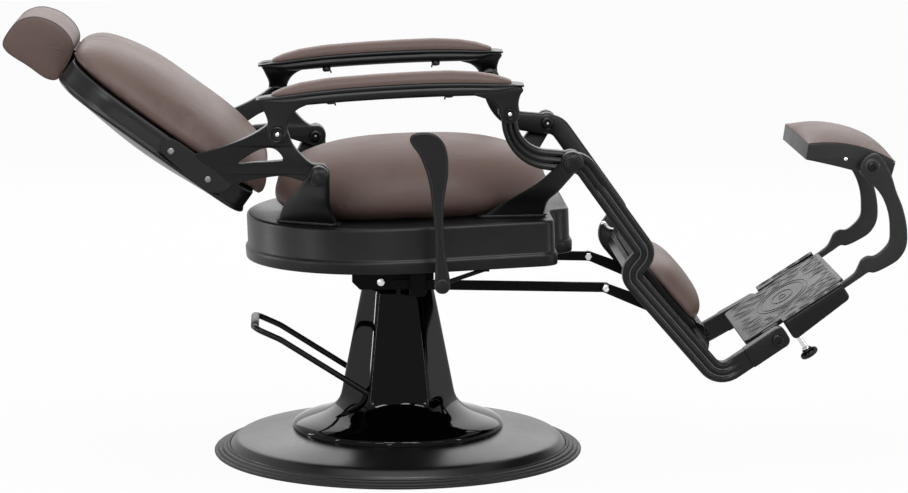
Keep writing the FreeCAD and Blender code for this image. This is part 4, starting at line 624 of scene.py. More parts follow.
def turned(profile: Sequence[Flat], steps: int, plan: Plan = oval(1.0, 1.0), closed: bool = False) -> Shape:
    """Solid round the Z axis.

    Args:
        profile: (radius, z) points, or (share of the plan, z) points.
        steps: samples round the axis.
        plan: outline that the radius scales.
        closed: whether the last point joins the first.

    Returns:
        The shape.
    """
    along, across = plan(circle(steps))
    verts: list[Space] = []
    rows: list[list[int]] = []
    for radius, z in profile:
        first = len(verts)
        if radius < 1e-6:
            rows.append([first] * steps)
            verts.append((0.0, 0.0, z))
        else:
            rows.append(list(range(first, first + steps)))
            verts += [(radius * x, radius * y, z) for x, y in zip(along, across)]
    faces = []
    for low, high in zip(rows, rows[1:] + rows[:1] if closed else rows[1:]):
        for index in range(steps):
            after = (index + 1) % steps
            corners = tuple(dict.fromkeys((low[index], low[after], high[after], high[index])))
            if len(corners) > 2:
                faces.append(corners)
    return Shape(np.array(verts), faces)


def loft(rings: Sequence[np.ndarray], caps: bool = True, looped: bool = False) -> Shape:
    """Skin over rings that have the same number of points.

    Args:
        rings: arrays of points.
        caps: whether the two ends are closed.
        looped: whether the last ring joins the first.

    Returns:
        The shape.
    """
    count = len(rings[0])
    faces = []
    rows = len(rings)
    for row in range(rows if looped else rows - 1):
        low, high = row * count, ((row + 1) % rows) * count
        for index in range(count):
            after = (index + 1) % count
            faces.append((low + index, low + after, high + after, high + index))
    if caps and not looped:
        faces.append(tuple(range(count))[::-1])
        faces.append(tuple(range((rows - 1) * count, rows * count)))
    return Shape(np.vstack(rings), faces)


def swept(path: np.ndarray, section: Callable[[float], np.ndarray], side: Space = (0.0, 1.0, 0.0)) -> Shape:
    """Section carried along a path that keeps one of its directions near a given one.

    Args:
        path: points of the centre line.
        section: function from the share of the length to (aside, across) points.
        side: direction that the section's first coordinate follows.

    Returns:
        The shape.
    """
    runs = lengths(path)
    rings = []
    for index, place in enumerate(path):
        ahead = path[min(index + 1, len(path) - 1)] - path[max(index - 1, 0)]
        ahead /= np.linalg.norm(ahead)
        aside = np.array(side) - ahead * float(np.dot(side, ahead))
        aside /= np.linalg.norm(aside)
        across = np.cross(ahead, aside)
        points = section(runs[index] / runs[-1])
        rings.append(place + points[:, :1] * aside + points[:, 1:] * across)
    return loft(rings)


def tube(path: np.ndarray, radius: float, sides: int = 12, closed: bool = False) -> Shape:
    """Round rod along a path, with no twist.

    Args:
        path: points of the centre line.
        radius: radius of the rod.
        sides: samples round it.
        closed: whether the path returns to its start.

    Returns:
        The shape.
    """
    count = len(path)
    cosines, sines = np.cos(circle(sides)), np.sin(circle(sides))
    aside = None
    rings = []
    for index in range(count):
        after = path[(index + 1) % count] if closed else path[min(index + 1, count - 1)]
        before = path[index - 1] if closed else path[max(index - 1, 0)]
        ahead = (after - before) / np.linalg.norm(after - before)
        if aside is None:
            aside = np.cross(ahead, (0.0, 0.0, 1.0) if abs(ahead[2]) < 0.9 else (0.0, 1.0, 0.0))
        aside = aside - ahead * float(aside @ ahead)
        aside /= np.linalg.norm(aside)
        across = np.cross(ahead, aside)
        rings.append(path[index] + radius * (np.outer(cosines, aside) + np.outer(sines, across)))
    return loft(rings, looped=closed)


def plate(loops: Sequence[np.ndarray], start: float, end: float, edge: float, steps: int = 4) -> Shape:
    """Plate with rounded edges whose outline lies in X and Z and whose thickness is along Y.

    Args:
        loops: outlines of (x, z) points: the outer one first, then any holes.
        start: lower Y.
        end: upper Y.
        edge: radius of the rounded edges.
        steps: samples of the rounding.

    Returns:
        The shape.
    """
    bends = [index / steps * math.pi / 2 for index in range(steps + 1)]
    levels = [(edge * (1 - math.sin(bend)), start + edge * (1 - math.cos(bend))) for bend in bends]
    levels += [(inset, start + end - y) for inset, y in reversed(levels)]
    skins = []
    caps: tuple[list, list] = ([], [])
    for number, loop in enumerate(loops):
        ordered = loop if (area(loop) > 0) == (number == 0) else loop[::-1]
        into = inward(ordered) if number == 0 else -inward(ordered)
        rings = [at_y(ordered + into * inset, y) for inset, y in levels]
        skins.append(loft(rings, caps=False))
        caps[0].append(rings[0])
        caps[1].append(rings[-1])
    for cap in caps:
        flats = [[Vector((point[0], point[2], 0.0)) for point in ring] for ring in cap]
        skins.append(Shape(np.vstack(cap), [tuple(face) for face in tessellate_polygon(flats)]))
    return total(skins)


def slab(corners: Sequence[Sequence[float]], radii: Sequence[float], span: Flat, edge: float,
         spacing: float = 3.0) -> Shape:
    """Plate with straight sides and rounded corners.

    Args:
        corners: (x, z) corners.
        radii: radius at each corner.
        span: lower and upper Y.
        edge: radius of the rounded edges.
        spacing: distance between samples of the outline.

    Returns:
        The shape.
    """
    return plate([even(rounded(corners, radii), spacing)], span[0], span[1], edge)


def about_y(shape: Shape, place: Flat, y: float, outward: int = 1) -> Shape:
    """Turned shape with its axis put along Y.

    Args:
        shape: shape whose axis is Z.
        place: (x, z) of the axis.
        y: place of the shape's z = 0.
        outward: 1 if the shape's Z becomes +Y, -1 if it becomes -Y.

    Returns:
        The shape in place.
    """
    turn = Matrix.Rotation(-outward * math.pi / 2, 4, "X")
    return shape.placed(Matrix.Translation((place[0], y, place[1])) @ turn)


def rod(radius: float, start: float, end: float, edge: float = 0.8, steps: int = 32) -> Shape:
    """Cylinder along Z with chamfered ends.

    Args:
        radius: its radius.
        start: lower end.
        end: upper end.
        edge: size of the chamfers.
        steps: samples round it.

    Returns:
        The shape.
    """
    profile = [(0.0, start), (radius - edge, start), (radius, start + edge), (radius, end - edge),
               (radius - edge, end), (0.0, end)]
    return turned(profile, steps)


def grown(profile: Sequence[Flat], radius: float, height: float, steps: int = BOSS_STEPS) -> Shape:
    """Turned shape from shares of a radius and of a height."""
    return turned([(radius * share, height * level) for share, level in profile], steps)


def socket_screw(radius: float, height: float) -> Shape:
    """Domed screw head on z = 0 with a hexagon socket.

    Args:
        radius: its radius.
        height: its height.

    Returns:
        The shape.
    """
    profile = ((0, 0), (1, 0), (1, 0.35), (0.95, 0.62), (0.82, 0.86), (0.66, 1))
    head = grown(profile, radius, height, HEAD_STEPS)
    turns = circle(HEAD_STEPS)
    flat = radius * 0.52 / np.cos((turns % (math.pi / 3)) - math.pi / 6)
    mouth = at_z(polar(flat, turns), height)
    floor = mouth - np.array([0.0, 0.0, height * 0.6])
    wall = loft([head.verts[-HEAD_STEPS:], mouth, floor], caps=False)
    return total([head, wall, Shape(floor, [tuple(range(HEAD_STEPS))])])


def pivot_cap(radius: float, height: float) -> Shape:
    """Domed pivot cap on z = 0 with a bevelled rim."""
    return grown(((0, 0), (1, 0), (1, 0.42), (0.93, 0.66), (0.78, 0.74), (0.74, 0.80), (0.70, 0.95),
                  (0.55, 1.06), (0.3, 1.11), (0, 1.13)), radius, height)


def ring_boss(radius: float, height: float) -> Shape:
    """Raised ring on z = 0 with a dished middle."""
    return grown(((0, 0), (1, 0), (1, 0.5), (0.93, 0.85), (0.82, 1), (0.72, 0.85), (0.62, 0.35), (0.3, 0.25),
                  (0, 0.25)), radius, height)


def pivot_pin(pivot: Flat, head: Shape, nut_radius: float) -> Shape:
    """Pins through both layers at a pivot, on both sides of the chair.

    Args:
        pivot: (x, z) of the pivot.
        head: what shows outside.
        nut_radius: radius of the nut inside.

    Returns:
        The shape.
    """
    shank = about_y(rod(8.0, 0.0, OUTER_END - INNER_FACE + 2.0), pivot, INNER_FACE - 1.0)
    nut = about_y(socket_screw(nut_radius, 7.0), pivot, INNER_FACE - 0.3, outward=-1)
    return total([shank, about_y(head, pivot, OUTER_END), nut]).both()


def pivot_boss(pivot: Flat, radius: float) -> Shape:
    """Round boss of a casting in the inner layer."""
    return about_y(rod(radius, 0.0, BOSS_LENGTH, 2.0, BOSS_STEPS), pivot, INNER_FACE + 0.2)


# Frames of the leaning sub-assemblies, in millimetres

def leaning(origin: Flat, angle: float, flipped: bool = False) -> Matrix:
    """Frame at an (x, z) place, turned about Y, and first half round about Z if flipped."""
    matrix = Matrix.Translation((origin[0], 0.0, origin[1])) @ Matrix.Rotation(math.radians(angle), 4, "Y")
    return matrix @ Matrix.Rotation(math.pi, 4, "Z") if flipped else matrix


BACK_FRAME = leaning(REAR_PIVOT, 36.2, flipped=True)
SEAT_FRAME = leaning((0.0, SEAT_LEVEL), -2.0)
LEG_FRAME = leaning(LEG_BEND, math.degrees(math.atan2(LEG_BEND[1] - LEG_TOE[1], LEG_TOE[0] - LEG_BEND[0])))
FOOT_FRAME = leaning(FOOT_PIVOT, -33.0)
ARM_FRAME = Matrix.Translation(ARM_MIDDLE) @ Matrix.Rotation(math.radians(-ARM_TILT), 4, "Y")
LYING = Matrix(((1, 0, 0, 0), (0, 0, 1, 0), (0, 1, 0, 0), (0, 0, 0, 1)))


# Pieces

def linked(name: str, data: bpy.types.ID) -> Item:
    """New object in the scene.

    Args:
        name: the object's name.
        data: its data.

    Returns:
        The object.
    """
    item = bpy.data.objects.new(name, data)
    bpy.context.scene.collection.objects.link(item)
    return item


def mesh_of(name: str, shape: Shape, merge: bool = True) -> bpy.types.Mesh:
    """Mesh of a shape, with its faces turned outwards.

    Args:
        name: the mesh's name.
        shape: the shape.
        merge: whether points at one place become one.

    Returns:
        The mesh.
    """
    mesh = bpy.data.meshes.new(name)
    mesh.from_pydata([tuple(point) for point in shape.verts * MM], [], shape.faces)
    work = bmesh.new()
    work.from_mesh(mesh)
    if merge:
        bmesh.ops.remove_doubles(work, verts=work.verts[:], dist=1e-6)
    bmesh.ops.recalc_face_normals(work, faces=work.faces[:])
    work.to_mesh(mesh)
    work.free()
    return mesh


def evaluated(item: Item) -> Item:
    """An object with its modifiers worked out."""
    return item.evaluated_get(bpy.context.evaluated_depsgraph_get())


class Workshop:
    """Turns shapes into pieces that ride on the frame."""

    def __init__(self, shop: FinishShop) -> None:
        """Keep the finishes."""
        self.shop = shop
        self.count = 0

    def piece(self, name: str, shape: Shape, finish: Finish, body: str, stands_for: Sequence[str] = (),
              sharp: float = 40.0, flat: bool = False) -> Item:
        """Make one piece.

        Args:
            name: the piece's name.
            shape: its mesh in millimetres.
            finish: its finish.
            body: the frame's body that it rides on.
            stands_for: nodes of the frame that it replaces.
            sharp: angle in degrees above which an edge is sharp.
            flat: whether large faces keep a flat look beside rounded edges.

        Returns:
            The new object.
        """
        mesh = mesh_of(name, shape)
        mesh.shade_smooth()
        mesh.set_sharp_from_angle(angle=math.radians(sharp))
        mesh.materials.append(self.shop.material(finish))
        item = linked(name, mesh)
        if flat:
            item.modifiers.new("flat_faces", "WEIGHTED_NORMAL").keep_sharp = True
        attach(item, body)
        if stands_for:
            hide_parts(*stands_for)
        self.count += 1
        LOG.info("%s: %d faces, on %s", name, len(mesh.polygons), body)
        return item

    def dress(self, **finishes: Finish) -> None:
        """Give finishes to nodes of the frame that stay in view, by the nodes' names.

        Args:
            finishes: the finish of each node.
        """
        for name, finish in finishes.items():
            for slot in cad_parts[name].material_slots:
                slot.material = self.shop.material(finish)

    def soft(self, name: str, shape: Shape, body: str, node: str,
             swell: float = 0.0) -> Item:
        """Make a padded leather piece that replaces a soft node.

        Args:
            name: the piece's name.
            shape: its mesh in millimetres.
            body: the frame's body that it rides on.
            node: the soft node.
            swell: farthest that the filling may push the cover, in millimetres.

        Returns:
            The new object.
        """
        item = self.piece(name, shape, LEATHER, body, [node], sharp=75.0)
        if swell:
            self.inflate(item, swell)
        return item

    @staticmethod
    def inflate(item: Item, swell: float) -> None:
        """Swell a pad by cloth pressure and keep the result as its mesh.

        Args:
            item: the pad.
            swell: farthest that a point may move, in millimetres.
        """
        scene = bpy.context.scene
        trial = linked(item.name + "_trial", item.data)
        voxels = trial.modifiers.new("voxels", "REMESH")
        voxels.mode = "VOXEL"
        voxels.voxel_size = VOXEL
        trial.modifiers.new("ease", "SMOOTH").iterations = EASE_PASSES
        mesh = bpy.data.meshes.new_from_object(evaluated(trial))
        trial.modifiers.clear()
        trial.data = mesh
        cloth = trial.modifiers.new("cloth", "CLOTH")
        cloth.settings.use_pressure = True
        cloth.settings.uniform_pressure_force = CLOTH_PRESSURE
        cloth.settings.effector_weights.gravity = 0.0
        cloth.point_cache.frame_end = CLOTH_FRAMES
        before = np.empty(len(mesh.vertices) * 3)
        mesh.vertices.foreach_get("co", before)
        for step in range(1, CLOTH_FRAMES + 1):
            scene.frame_set(step)
        after = np.empty_like(before)
        evaluated(trial).data.vertices.foreach_get("co", after)
        move = (after - before).reshape(-1, 3)
        length = np.linalg.norm(move, axis=1)
        move *= np.minimum(1.0, swell * MM / np.maximum(length, 1e-9))[:, None]
        bpy.data.objects.remove(trial)
        scene.frame_set(1)
        mesh.vertices.foreach_set("co", before + move.ravel())
        mesh.shade_smooth()
        mesh.update()
        item.data = mesh
        item.modifiers.new("round", "SUBSURF").levels = 1
        LOG.info("%s: %d faces swollen by %.1f mm", item.name, len(mesh.polygons), float(length.mean()) / MM)


@dataclass
class Base:
    """Round foot, column and pump pedal."""

    dish_profile: Outline = (
        (0, 44), (196, 44), (240, 37.6), (276, 31.4), (290, 28.9), (296, 27.4), (299, 25.8), (302, 23.2),
        (309, 16.4), (311.2, 14.2), (312, 12), (312, 4), (292, 4), (287, 15), (191, 22), (44, 22), (44, 0),
        (0, 0))
    ridge: Outline = ((0, -1.5), (0.8, -0.4), (2.6, 0.3), (5.8, 0.4), (7, 0))
    ridge_count: int = 3
    ridge_step: Flat = (7.4, 3.7)
    plate_radius: float = 312.0
    trim_radius: float = 340.0
    bell: Outline = (
        (195, 44.2), (195, 50), (194.2, 52.6), (192, 54.8), (186, 58.8), (175, 63.2), (160, 68),
        (146, 72.4), (134, 77), (125, 82.5), (118, 89.5), (113, 97.5), (109.5, 106), (106.5, 114),
        (104, 122))
    column_foot: Flat = (95.5, 88.0)
    column_top: Flat = (58.5, 312.0)
    corner_power: Flat = (42.0, 15.0)
    column_rows: int = 16
    flat_zone: Flat = (76.0, 112.0)
    wall: float = 6.0
    bore: float = 89.0
    foot_level: float = 44.2
    slot_height: Flat = (75.0, 127.0)
    slot_reach: Flat = (-191.0, -18.0)
    pedal: Outline = ((0, 83), (-217, 222), (-263, 243))
    pedal_half: float = 75.0
    pedal_bends: tuple[float, ...] = (0, 75, 16, 16, 75, 0)
    rod_radius: float = 5.5
    slot_room: float = 3.0
    eye_radius: float = 13.0
    sleeve_profile: Outline = ((5.6, -52), (6.8, -52), (7.5, -51), (7.5, 51), (6.8, 52), (5.6, 52))

    def build(self, shop: Workshop) -> None:
        """Make the base's pieces.

        Args:
            shop: the workshop that makes the pieces.
        """
        shop.piece("base_dish", self.dish(), DISC, "base", ["base_plate"], sharp=50.0)
        shop.piece("base_ring", self.ring(), RING, "base", ["base_trim"], sharp=50.0)
        column = shop.piece("column", self.column(), GLOSS, "base", ["column_cover"], sharp=60.0)
        self.cut_slots(column)
        shop.piece("pedal_bar", self.pedal_bar(), SATIN, "pedal", ["pedal_loop"])
        shop.piece("pedal_sleeve", self.sleeve(), GRIP, "pedal", ["pedal_grip"])
        shop.dress(pump_cylinder=SATIN, cylinder_gland=ZINC, pump_bolts=ZINC, ram=CHROME,
                   thrust_washer=BRONZE)

    def dish(self) -> Shape:
        """Plate that rises to the column, with a bevelled rim."""
        return turned(self.dish_profile, LARGE_STEPS)

    def ring(self) -> Shape:
        """Rubber ring with rounded ridges.

        Returns:
            The shape.
        """
        inner, seam, outer = self.plate_radius - 12, self.plate_radius + 0.05, self.trim_radius
        profile: list[Flat] = [(inner, 0.0), (outer - 1, 0.0), (outer, 1.5)]
        for step in range(self.ridge_count):
            radius, height = outer - step * self.ridge_step[0], 5.0 + step * self.ridge_step[1]
            profile += [(radius - back, height + lift) for back, lift in self.ridge]
        profile += [(316.0, 15.2), (312.4, 14.4), (seam, 12.0), (seam, 3.9), (inner, 3.9)]
        return turned(profile, LARGE_STEPS, closed=True)

    def column(self) -> Shape:
        """Hollow column: a round bell that turns into six flats.

        Returns:
            The shape.
        """
        turns = circle(240)
        low, high = self.column_foot, self.column_top
        radius, start = self.bell[-1]
        rise = (high[1] - start) / self.column_rows
        levels = [*self.bell, *((radius, start + rise * row) for row in range(1, self.column_rows + 1))]
        walls = np.pi / 6 + np.arange(6) * np.pi / 3
        outer = []
        for radius, z in levels:
            share = (z - low[1]) / (high[1] - low[1])
            apothem = low[0] + (high[0] - low[0]) * share
            power = self.corner_power[0] + (self.corner_power[1] - self.corner_power[0]) * max(share, 0.0)
            spread = np.clip(np.cos(turns[:, None] - walls), 0.0, None) ** power
            flats = apothem * spread.sum(axis=1) ** (-1 / power)
            flatness = smooth_step(z, *self.flat_zone)
            outer.append((radius * (1 - flatness) + flats * flatness, z))
        inner = [(np.minimum(reach - self.wall, self.bore), z) for reach, z in reversed(outer[1:])]
        lip = (outer[-1][0] - 1.6, outer[-1][1] + 0.6)
        skin = [*outer, lip, (inner[0][0], lip[1]), *inner[1:], (inner[-1][0], self.foot_level)]
        return loft([at_z(polar(reach, turns), z) for reach, z in skin], looped=True)

    def cut_slots(self, column: Item) -> None:
        """Cut the two slots that the pedal's rods pass through.

        Args:
            column: the column.
        """
        half = self.rod_radius + self.slot_room
        cutters = []
        for side in Side:
            middle = side.value * self.pedal_half
            block = rounded(rectangle((middle - half, middle + half), self.slot_height), [half - 0.1] * 4)
            cutters.append(loft([np.column_stack([np.full(len(block), x), block]) for x in self.slot_reach]))
        cutter = linked("slot_cutter", mesh_of("slot_cutter", total(cutters), merge=False))
        cut = column.modifiers.new("slots", "BOOLEAN")
        cut.object = cutter
        cut.solver = "EXACT"
        bpy.context.view_layer.update()
        finished = bpy.data.meshes.new_from_object(evaluated(column))
        column.modifiers.clear()
        column.data = finished
        bpy.data.objects.remove(cutter)

    def pedal_bar(self) -> Shape:
        """Bent rod with an eye on each end.

        Returns:
            The shape.
        """
        pivot, kink, tip = self.pedal
        half = self.pedal_half
        points = [(x, half, z) for x, z in self.pedal] + [(x, -half, z) for x, z in (tip, kink, pivot)]
        path = rounded(points, self.pedal_bends, closed=False)
        bar = tube(even(path, 5.0, closed=False), self.rod_radius, 16)
        eyes = [about_y(rod(self.eye_radius, -6.5, 6.5), pivot, side.value * half) for side in Side]
        return total([bar, *eyes])

    def sleeve(self) -> Shape:
        """Sleeve on the pedal's tip."""
        return about_y(turned(self.sleeve_profile, 32, closed=True), self.pedal[2], 0.0)


@dataclass(frozen=True)
class Lug:
    """One lug of the seat, on the left side.

    Edges start at the foot and stop short of the boss. The foot is given by the (x, y) of its ends.
    """

    pivot: Flat
    radius: float
    cap: float
    rear: tuple[Space, ...]
    front: tuple[Space, ...]
    foot: tuple[Flat, Flat]


# Lugs that carry the back and the leg rest
LUGS = {
    "rear": Lug(REAR_PIVOT, 19.0, 15.5, ((-217, 146, 450), (-208, 176, 482), (-184, 240, 522)),
                ((-112, 224, 453), (-126, 240, 484), (-130, 278, 515)), ((-210, 148), (-118, 220))),
    "front": Lug(FRONT_PIVOT, 20.0, 17.0, ((140, 198, 462), (180, 212, 490), (238, 262, 534)),
                 ((252, 213, 465), (258, 226, 492), (277, 266, 520)), ((150, 200), (246, 212))),
}


@dataclass
class Seat:
    """Seat pan, cushion, lugs, pivot caps and recline lock."""

    pan_radius: float = 285.0
    pan_height: float = 81.0
    pan_middle: float = 8.0
    corner: Flat = (270.0, 262.0)
    notch_y: float = 140.0
    nose: Flat = (307.0, 126.0)
    cushion_half: Flat = (257.0, 224.0)
    cushion_middle: float = 26.0
    cushion_power: float = 2.45
    pucker_turns: tuple[float, ...] = (-2.2, 2.2, -0.9, 0.9)
    pucker_width: float = 0.2
    pucker_rate: float = 62.0
    pucker_level: Flat = (0.08, 0.13)
    pucker_depth: Flat = (0.008, 0.9)
    cushion_height: float = 121.0
    cushion_profile: Outline = (
        (0, 1), (0.12, 0.998), (0.25, 0.989), (0.38, 0.97), (0.5, 0.94), (0.6, 0.9), (0.69, 0.85),
        (0.77, 0.788), (0.84, 0.71), (0.89, 0.632), (0.93, 0.55), (0.96, 0.46), (0.98, 0.36),
        (0.99, 0.265), (0.985, 0.19), (0.965, 0.13), (0.935, 0.085), (0.9, 0.045), (0.86, 0.015),
        (0.82, 0), (0.6, 0), (0, 0))
    lever_outline: Outline = (
        (53.6, 372), (55.3, 417), (53.9, 459), (49.8, 500), (44.5, 542), (38, 567), (26.1, 595.6),
        (15.9, 609.5), (10.8, 619.5), (12.4, 628.2), (21.5, 633), (38, 634.2), (52.8, 631.4),
        (65.1, 622.2), (73.3, 607.7), (77.2, 587.1), (77.3, 562.3), (74.5, 541.6), (70.6, 517),
        (69.1, 492), (69.3, 467), (71.1, 433.7), (75, 404.5), (80.4, 374), (80.6, 360.5), (74.5, 352),
        (67, 350), (59.5, 352), (53.8, 359.5))
    skirt: Outline = (
        (2.6, 0), (3.7, 1), (4, 2.6), (4.6, 16), (4.4, 18.4), (3.6, 20.6), (2.2, 22.4), (0.7, 23.6),
        (0, 25.6))
    edge: Outline = ((0, -6), (-0.5, -3.4), (-1.8, -1.5), (-3.6, -0.4), (-6, 0))
    corner_radii: tuple[float, ...] = (0.0, 24.0, 14.0, 38.0)
    lug_thick: Flat = (13.0, 20.0)
    lug_bends: tuple[float, ...] = (18, 36, 52, 66, 78, 87)
    lug_grows: Flat = (0.45, 0.95)
    foot_half: float = 11.0
    foot_over: float = 8.0
    support_screw: Outline = ((0, 0), (8, 0), (8, 2.6), (6.6, 4.4), (3.4, 5), (0, 5.1))
    support_places: Outline = ((-34, 333), (34, 333))
    support_cheek: float = 112.0
    pivot_tip: Outline = ((0, 0), (2.6, 0), (2.2, 0.9), (0, 1.3))
    bead_inset: float = 3.4
    bead_radius: float = 1.5
    lever_boss: Outline = ((0, -1), (13, -1), (13, 0.6), (12, 1.8), (8.5, 2.7), (0, 3.2))
    lever_layer: Flat = (-347.0, -336.0)
    lever_pivot: Flat = (67.0, 364.0)

    def build(self, shop: Workshop) -> None:
        """Make the seat's pieces.

        Args:
            shop: the workshop that makes the pieces.
        """
        shop.piece("seat_dish", self.pan(), SATIN, "seat", ["seat_pan"], sharp=50.0)
        shop.soft("seat_pad", self.pad(), "seat", "seat_cushion", 5.0)
        for name, lug in LUGS.items():
            shop.piece(name + "_lug_pair", self.lug(lug).both(), CAST, "seat", [name + "_lugs"], sharp=55.0)
        for name, lug in LUGS.items():
            pins = pivot_pin(lug.pivot, pivot_cap(lug.cap, 7.0), 12.5)
            shop.piece(name + "_pivot_caps", pins, BOLT_BLACK, "seat", [name + "_pivot_pins"])
        shop.piece("support_screws", self.support_screws(), STEEL, "seat", ["support_bolts"])
        shop.piece("lever_paddle", self.lever(), CAST, "lever", ["lock_lever"], sharp=50.0, flat=True)
        shop.piece("knee_screws", self.knee_screws(), STEEL, "struts", ["knee_bolts"])
        tip = turned(self.pivot_tip, 16)
        tips = [about_y(tip, lug.pivot, INNER_FACE - 7.0, -1) for lug in LUGS.values()]
        shop.piece("pivot_tips", total(tips).both(), STEEL, "seat")
        # The parts under the seat get the darker copy of satin black: painted shade
        shop.dress(seat_support=SHADE_BLACK, seat_rails=SHADE_BLACK, lug_screws=BOLT_BLACK, guide_brackets=SHADE_BLACK,
                   lever_brace=SHADE_BLACK, lock_shaft=SHADE_BLACK, lock_guides=SHADE_BLACK, strut_bars=SHADE_BLACK, strut_links=SHADE_BLACK)

    def pan_outline(self) -> np.ndarray:
        """Plan of the pan: a round back, straight flanks, notched corners and a nose.

        Returns:
            The points.
        """
        corner_x, corner_y = self.corner
        ahead = corner_x - self.pan_middle
        angle = math.atan2(corner_y, ahead) + math.acos(self.pan_radius / math.hypot(ahead, corner_y))
        touch = (self.pan_middle + self.pan_radius * math.cos(angle), self.pan_radius * math.sin(angle))
        half = [touch, (corner_x, corner_y), (corner_x, self.notch_y), self.nose]
        points = half + [(x, -y) for x, y in reversed(half)]
        radii = self.corner_radii + self.corner_radii[::-1]
        front = rounded(points, radii, closed=False, step=5.0)
        turns = np.linspace(2 * math.pi - angle, angle, 90)[1:-1]
        back = polar(self.pan_radius, turns) + (self.pan_middle, 0.0)
        return even(np.vstack([front, back]), 4.0)

    def pan(self) -> Shape:
        """Deck with a rounded edge and a skirt that ends in a stepped band.

        Returns:
            The shape.
        """
        loop = self.pan_outline()
        into = inward(loop)
        low = -self.pan_height
        levels = [(-5.0, -8.0), (-5.0, low), *((grow, low + lift) for grow, lift in self.skirt), *self.edge]
        return loft([at_z(loop - into * grow, z) for grow, z in levels]).placed(SEAT_FRAME)

    def pad(self) -> Shape:
        """Crowned cushion, tight in the middle, with small puckers where the cover is pulled under.

        Returns:
            The shape.
        """
        plan = oval(*self.cushion_half, self.cushion_power)
        profile = [(share, 0.6 + self.cushion_height * level) for share, level in self.cushion_profile]
        shape = turned(profile, SOFT_STEPS, plan)

        def pucker(points: np.ndarray) -> np.ndarray:
            """Pull short radial folds into the lower edge.

            Args:
                points: the shape's points.

            Returns:
                The moved points.
            """
            turn = np.arctan2(points[:, 1] / self.cushion_half[1], points[:, 0] / self.cushion_half[0])
            height = points[:, 2] / self.cushion_height
            fold = np.zeros(len(points))
            for middle in self.pucker_turns:
                away = (turn - middle + math.pi) % (2 * math.pi) - math.pi
                fold += np.exp(-(away / self.pucker_width) ** 2) * np.sin(away * self.pucker_rate)
            near = np.exp(-((height - self.pucker_level[0]) / self.pucker_level[1]) ** 2)
            points[:, :2] *= (1 - self.pucker_depth[0] * fold * near)[:, None]
            points[:, 2] -= self.pucker_depth[1] * np.abs(fold) * near * (height > 0.02)
            return points

        return shape.bent(pucker).placed(SEAT_FRAME @ Matrix.Translation((self.cushion_middle, 0.0, 0.0)))

    def lug(self, plan: Lug) -> Shape:
        """Bent lug that thickens towards the boss at its top, with its foot.

        Args:
            plan: what it is made from.

        Returns:
            The shape on the left side.
        """
        x, z = plan.pivot
        edges = [spline([*edge, (x + side * plan.radius, OUTER_MIDDLE, z)], 10, closed=False)
                 for edge, side in ((plan.rear, -1), (plan.front, 1))]
        stations = list(zip(*edges))
        for bend in np.radians(self.lug_bends):
            reach, rise = plan.radius * math.cos(bend), plan.radius * math.sin(bend)
            stations.append(tuple(np.array([x + across, OUTER_MIDDLE, z + rise])
                                  for across in (-reach, reach)))
        aside, depth = oval(1.0, 1.0, 5.0)(circle(40))
        foot, boss = self.lug_thick
        rings = []
        for index, (one, two) in enumerate(stations):
            share = min(index / (len(edges[0]) - 1), 1.0)
            half = (foot + (boss - foot) * smooth_step(share, *self.lug_grows)) / 2
            centre, reach = (one + two) / 2, (two - one) / 2
            normal = np.cross(reach, (0.0, 0.0, 1.0))
            normal /= np.linalg.norm(normal)
            rings.append(centre + np.outer(aside, reach) + np.outer(depth * half, normal))
        return loft(rings) + self.foot(*plan.foot)

    def foot(self, start: Flat, end: Flat) -> Shape:
        """Flat foot on the deck under a lug.

        Args:
            start: one end of the foot.
            end: its other end.

        Returns:
            The shape.
        """
        one, two = np.array(start), np.array(end)
        along = (two - one) / np.linalg.norm(two - one)
        aside = np.array([-along[1], along[0]]) * self.foot_half
        one, two = one - along * self.foot_over, two + along * self.foot_over
        loop = rounded([one - aside, two - aside, two + aside, one + aside], [5.0] * 4)
        return plate([loop], 0.1, 6.0, 1.5, 3).placed(SEAT_FRAME @ LYING)

    def support_screws(self) -> Shape:
        """Bright screws in the support's cheeks."""
        head = turned(self.support_screw, 32)
        return total([about_y(head, place, self.support_cheek) for place in self.support_places]).both()

    @staticmethod
    def knee_screws() -> Shape:
        """Bright screws at the knees of the struts.

        Returns:
            The shape.
        """
        head = about_y(socket_screw(7.0, 5.0), STRUT_KNEE, 188.0)
        nut = about_y(rod(7.0, 0.0, 5.0, steps=6), STRUT_KNEE, 172.0, outward=-1)
        return (head + nut).both()

    def lever(self) -> Shape:
        """Paddle lever with a raised rim.

        Returns:
            The shape.
        """
        loop = even(spline(self.lever_outline, 8), 3.0)
        face, rear = self.lever_layer
        rim = at_y(loop + inward(loop) * self.bead_inset, face + 0.4)
        bead = tube(rim, self.bead_radius, 8, closed=True)
        boss = turned(self.lever_boss, 40)
        boss = about_y(boss, self.lever_pivot, face, outward=-1)
        return total([plate([loop], face, rear, 3.2), bead, boss])


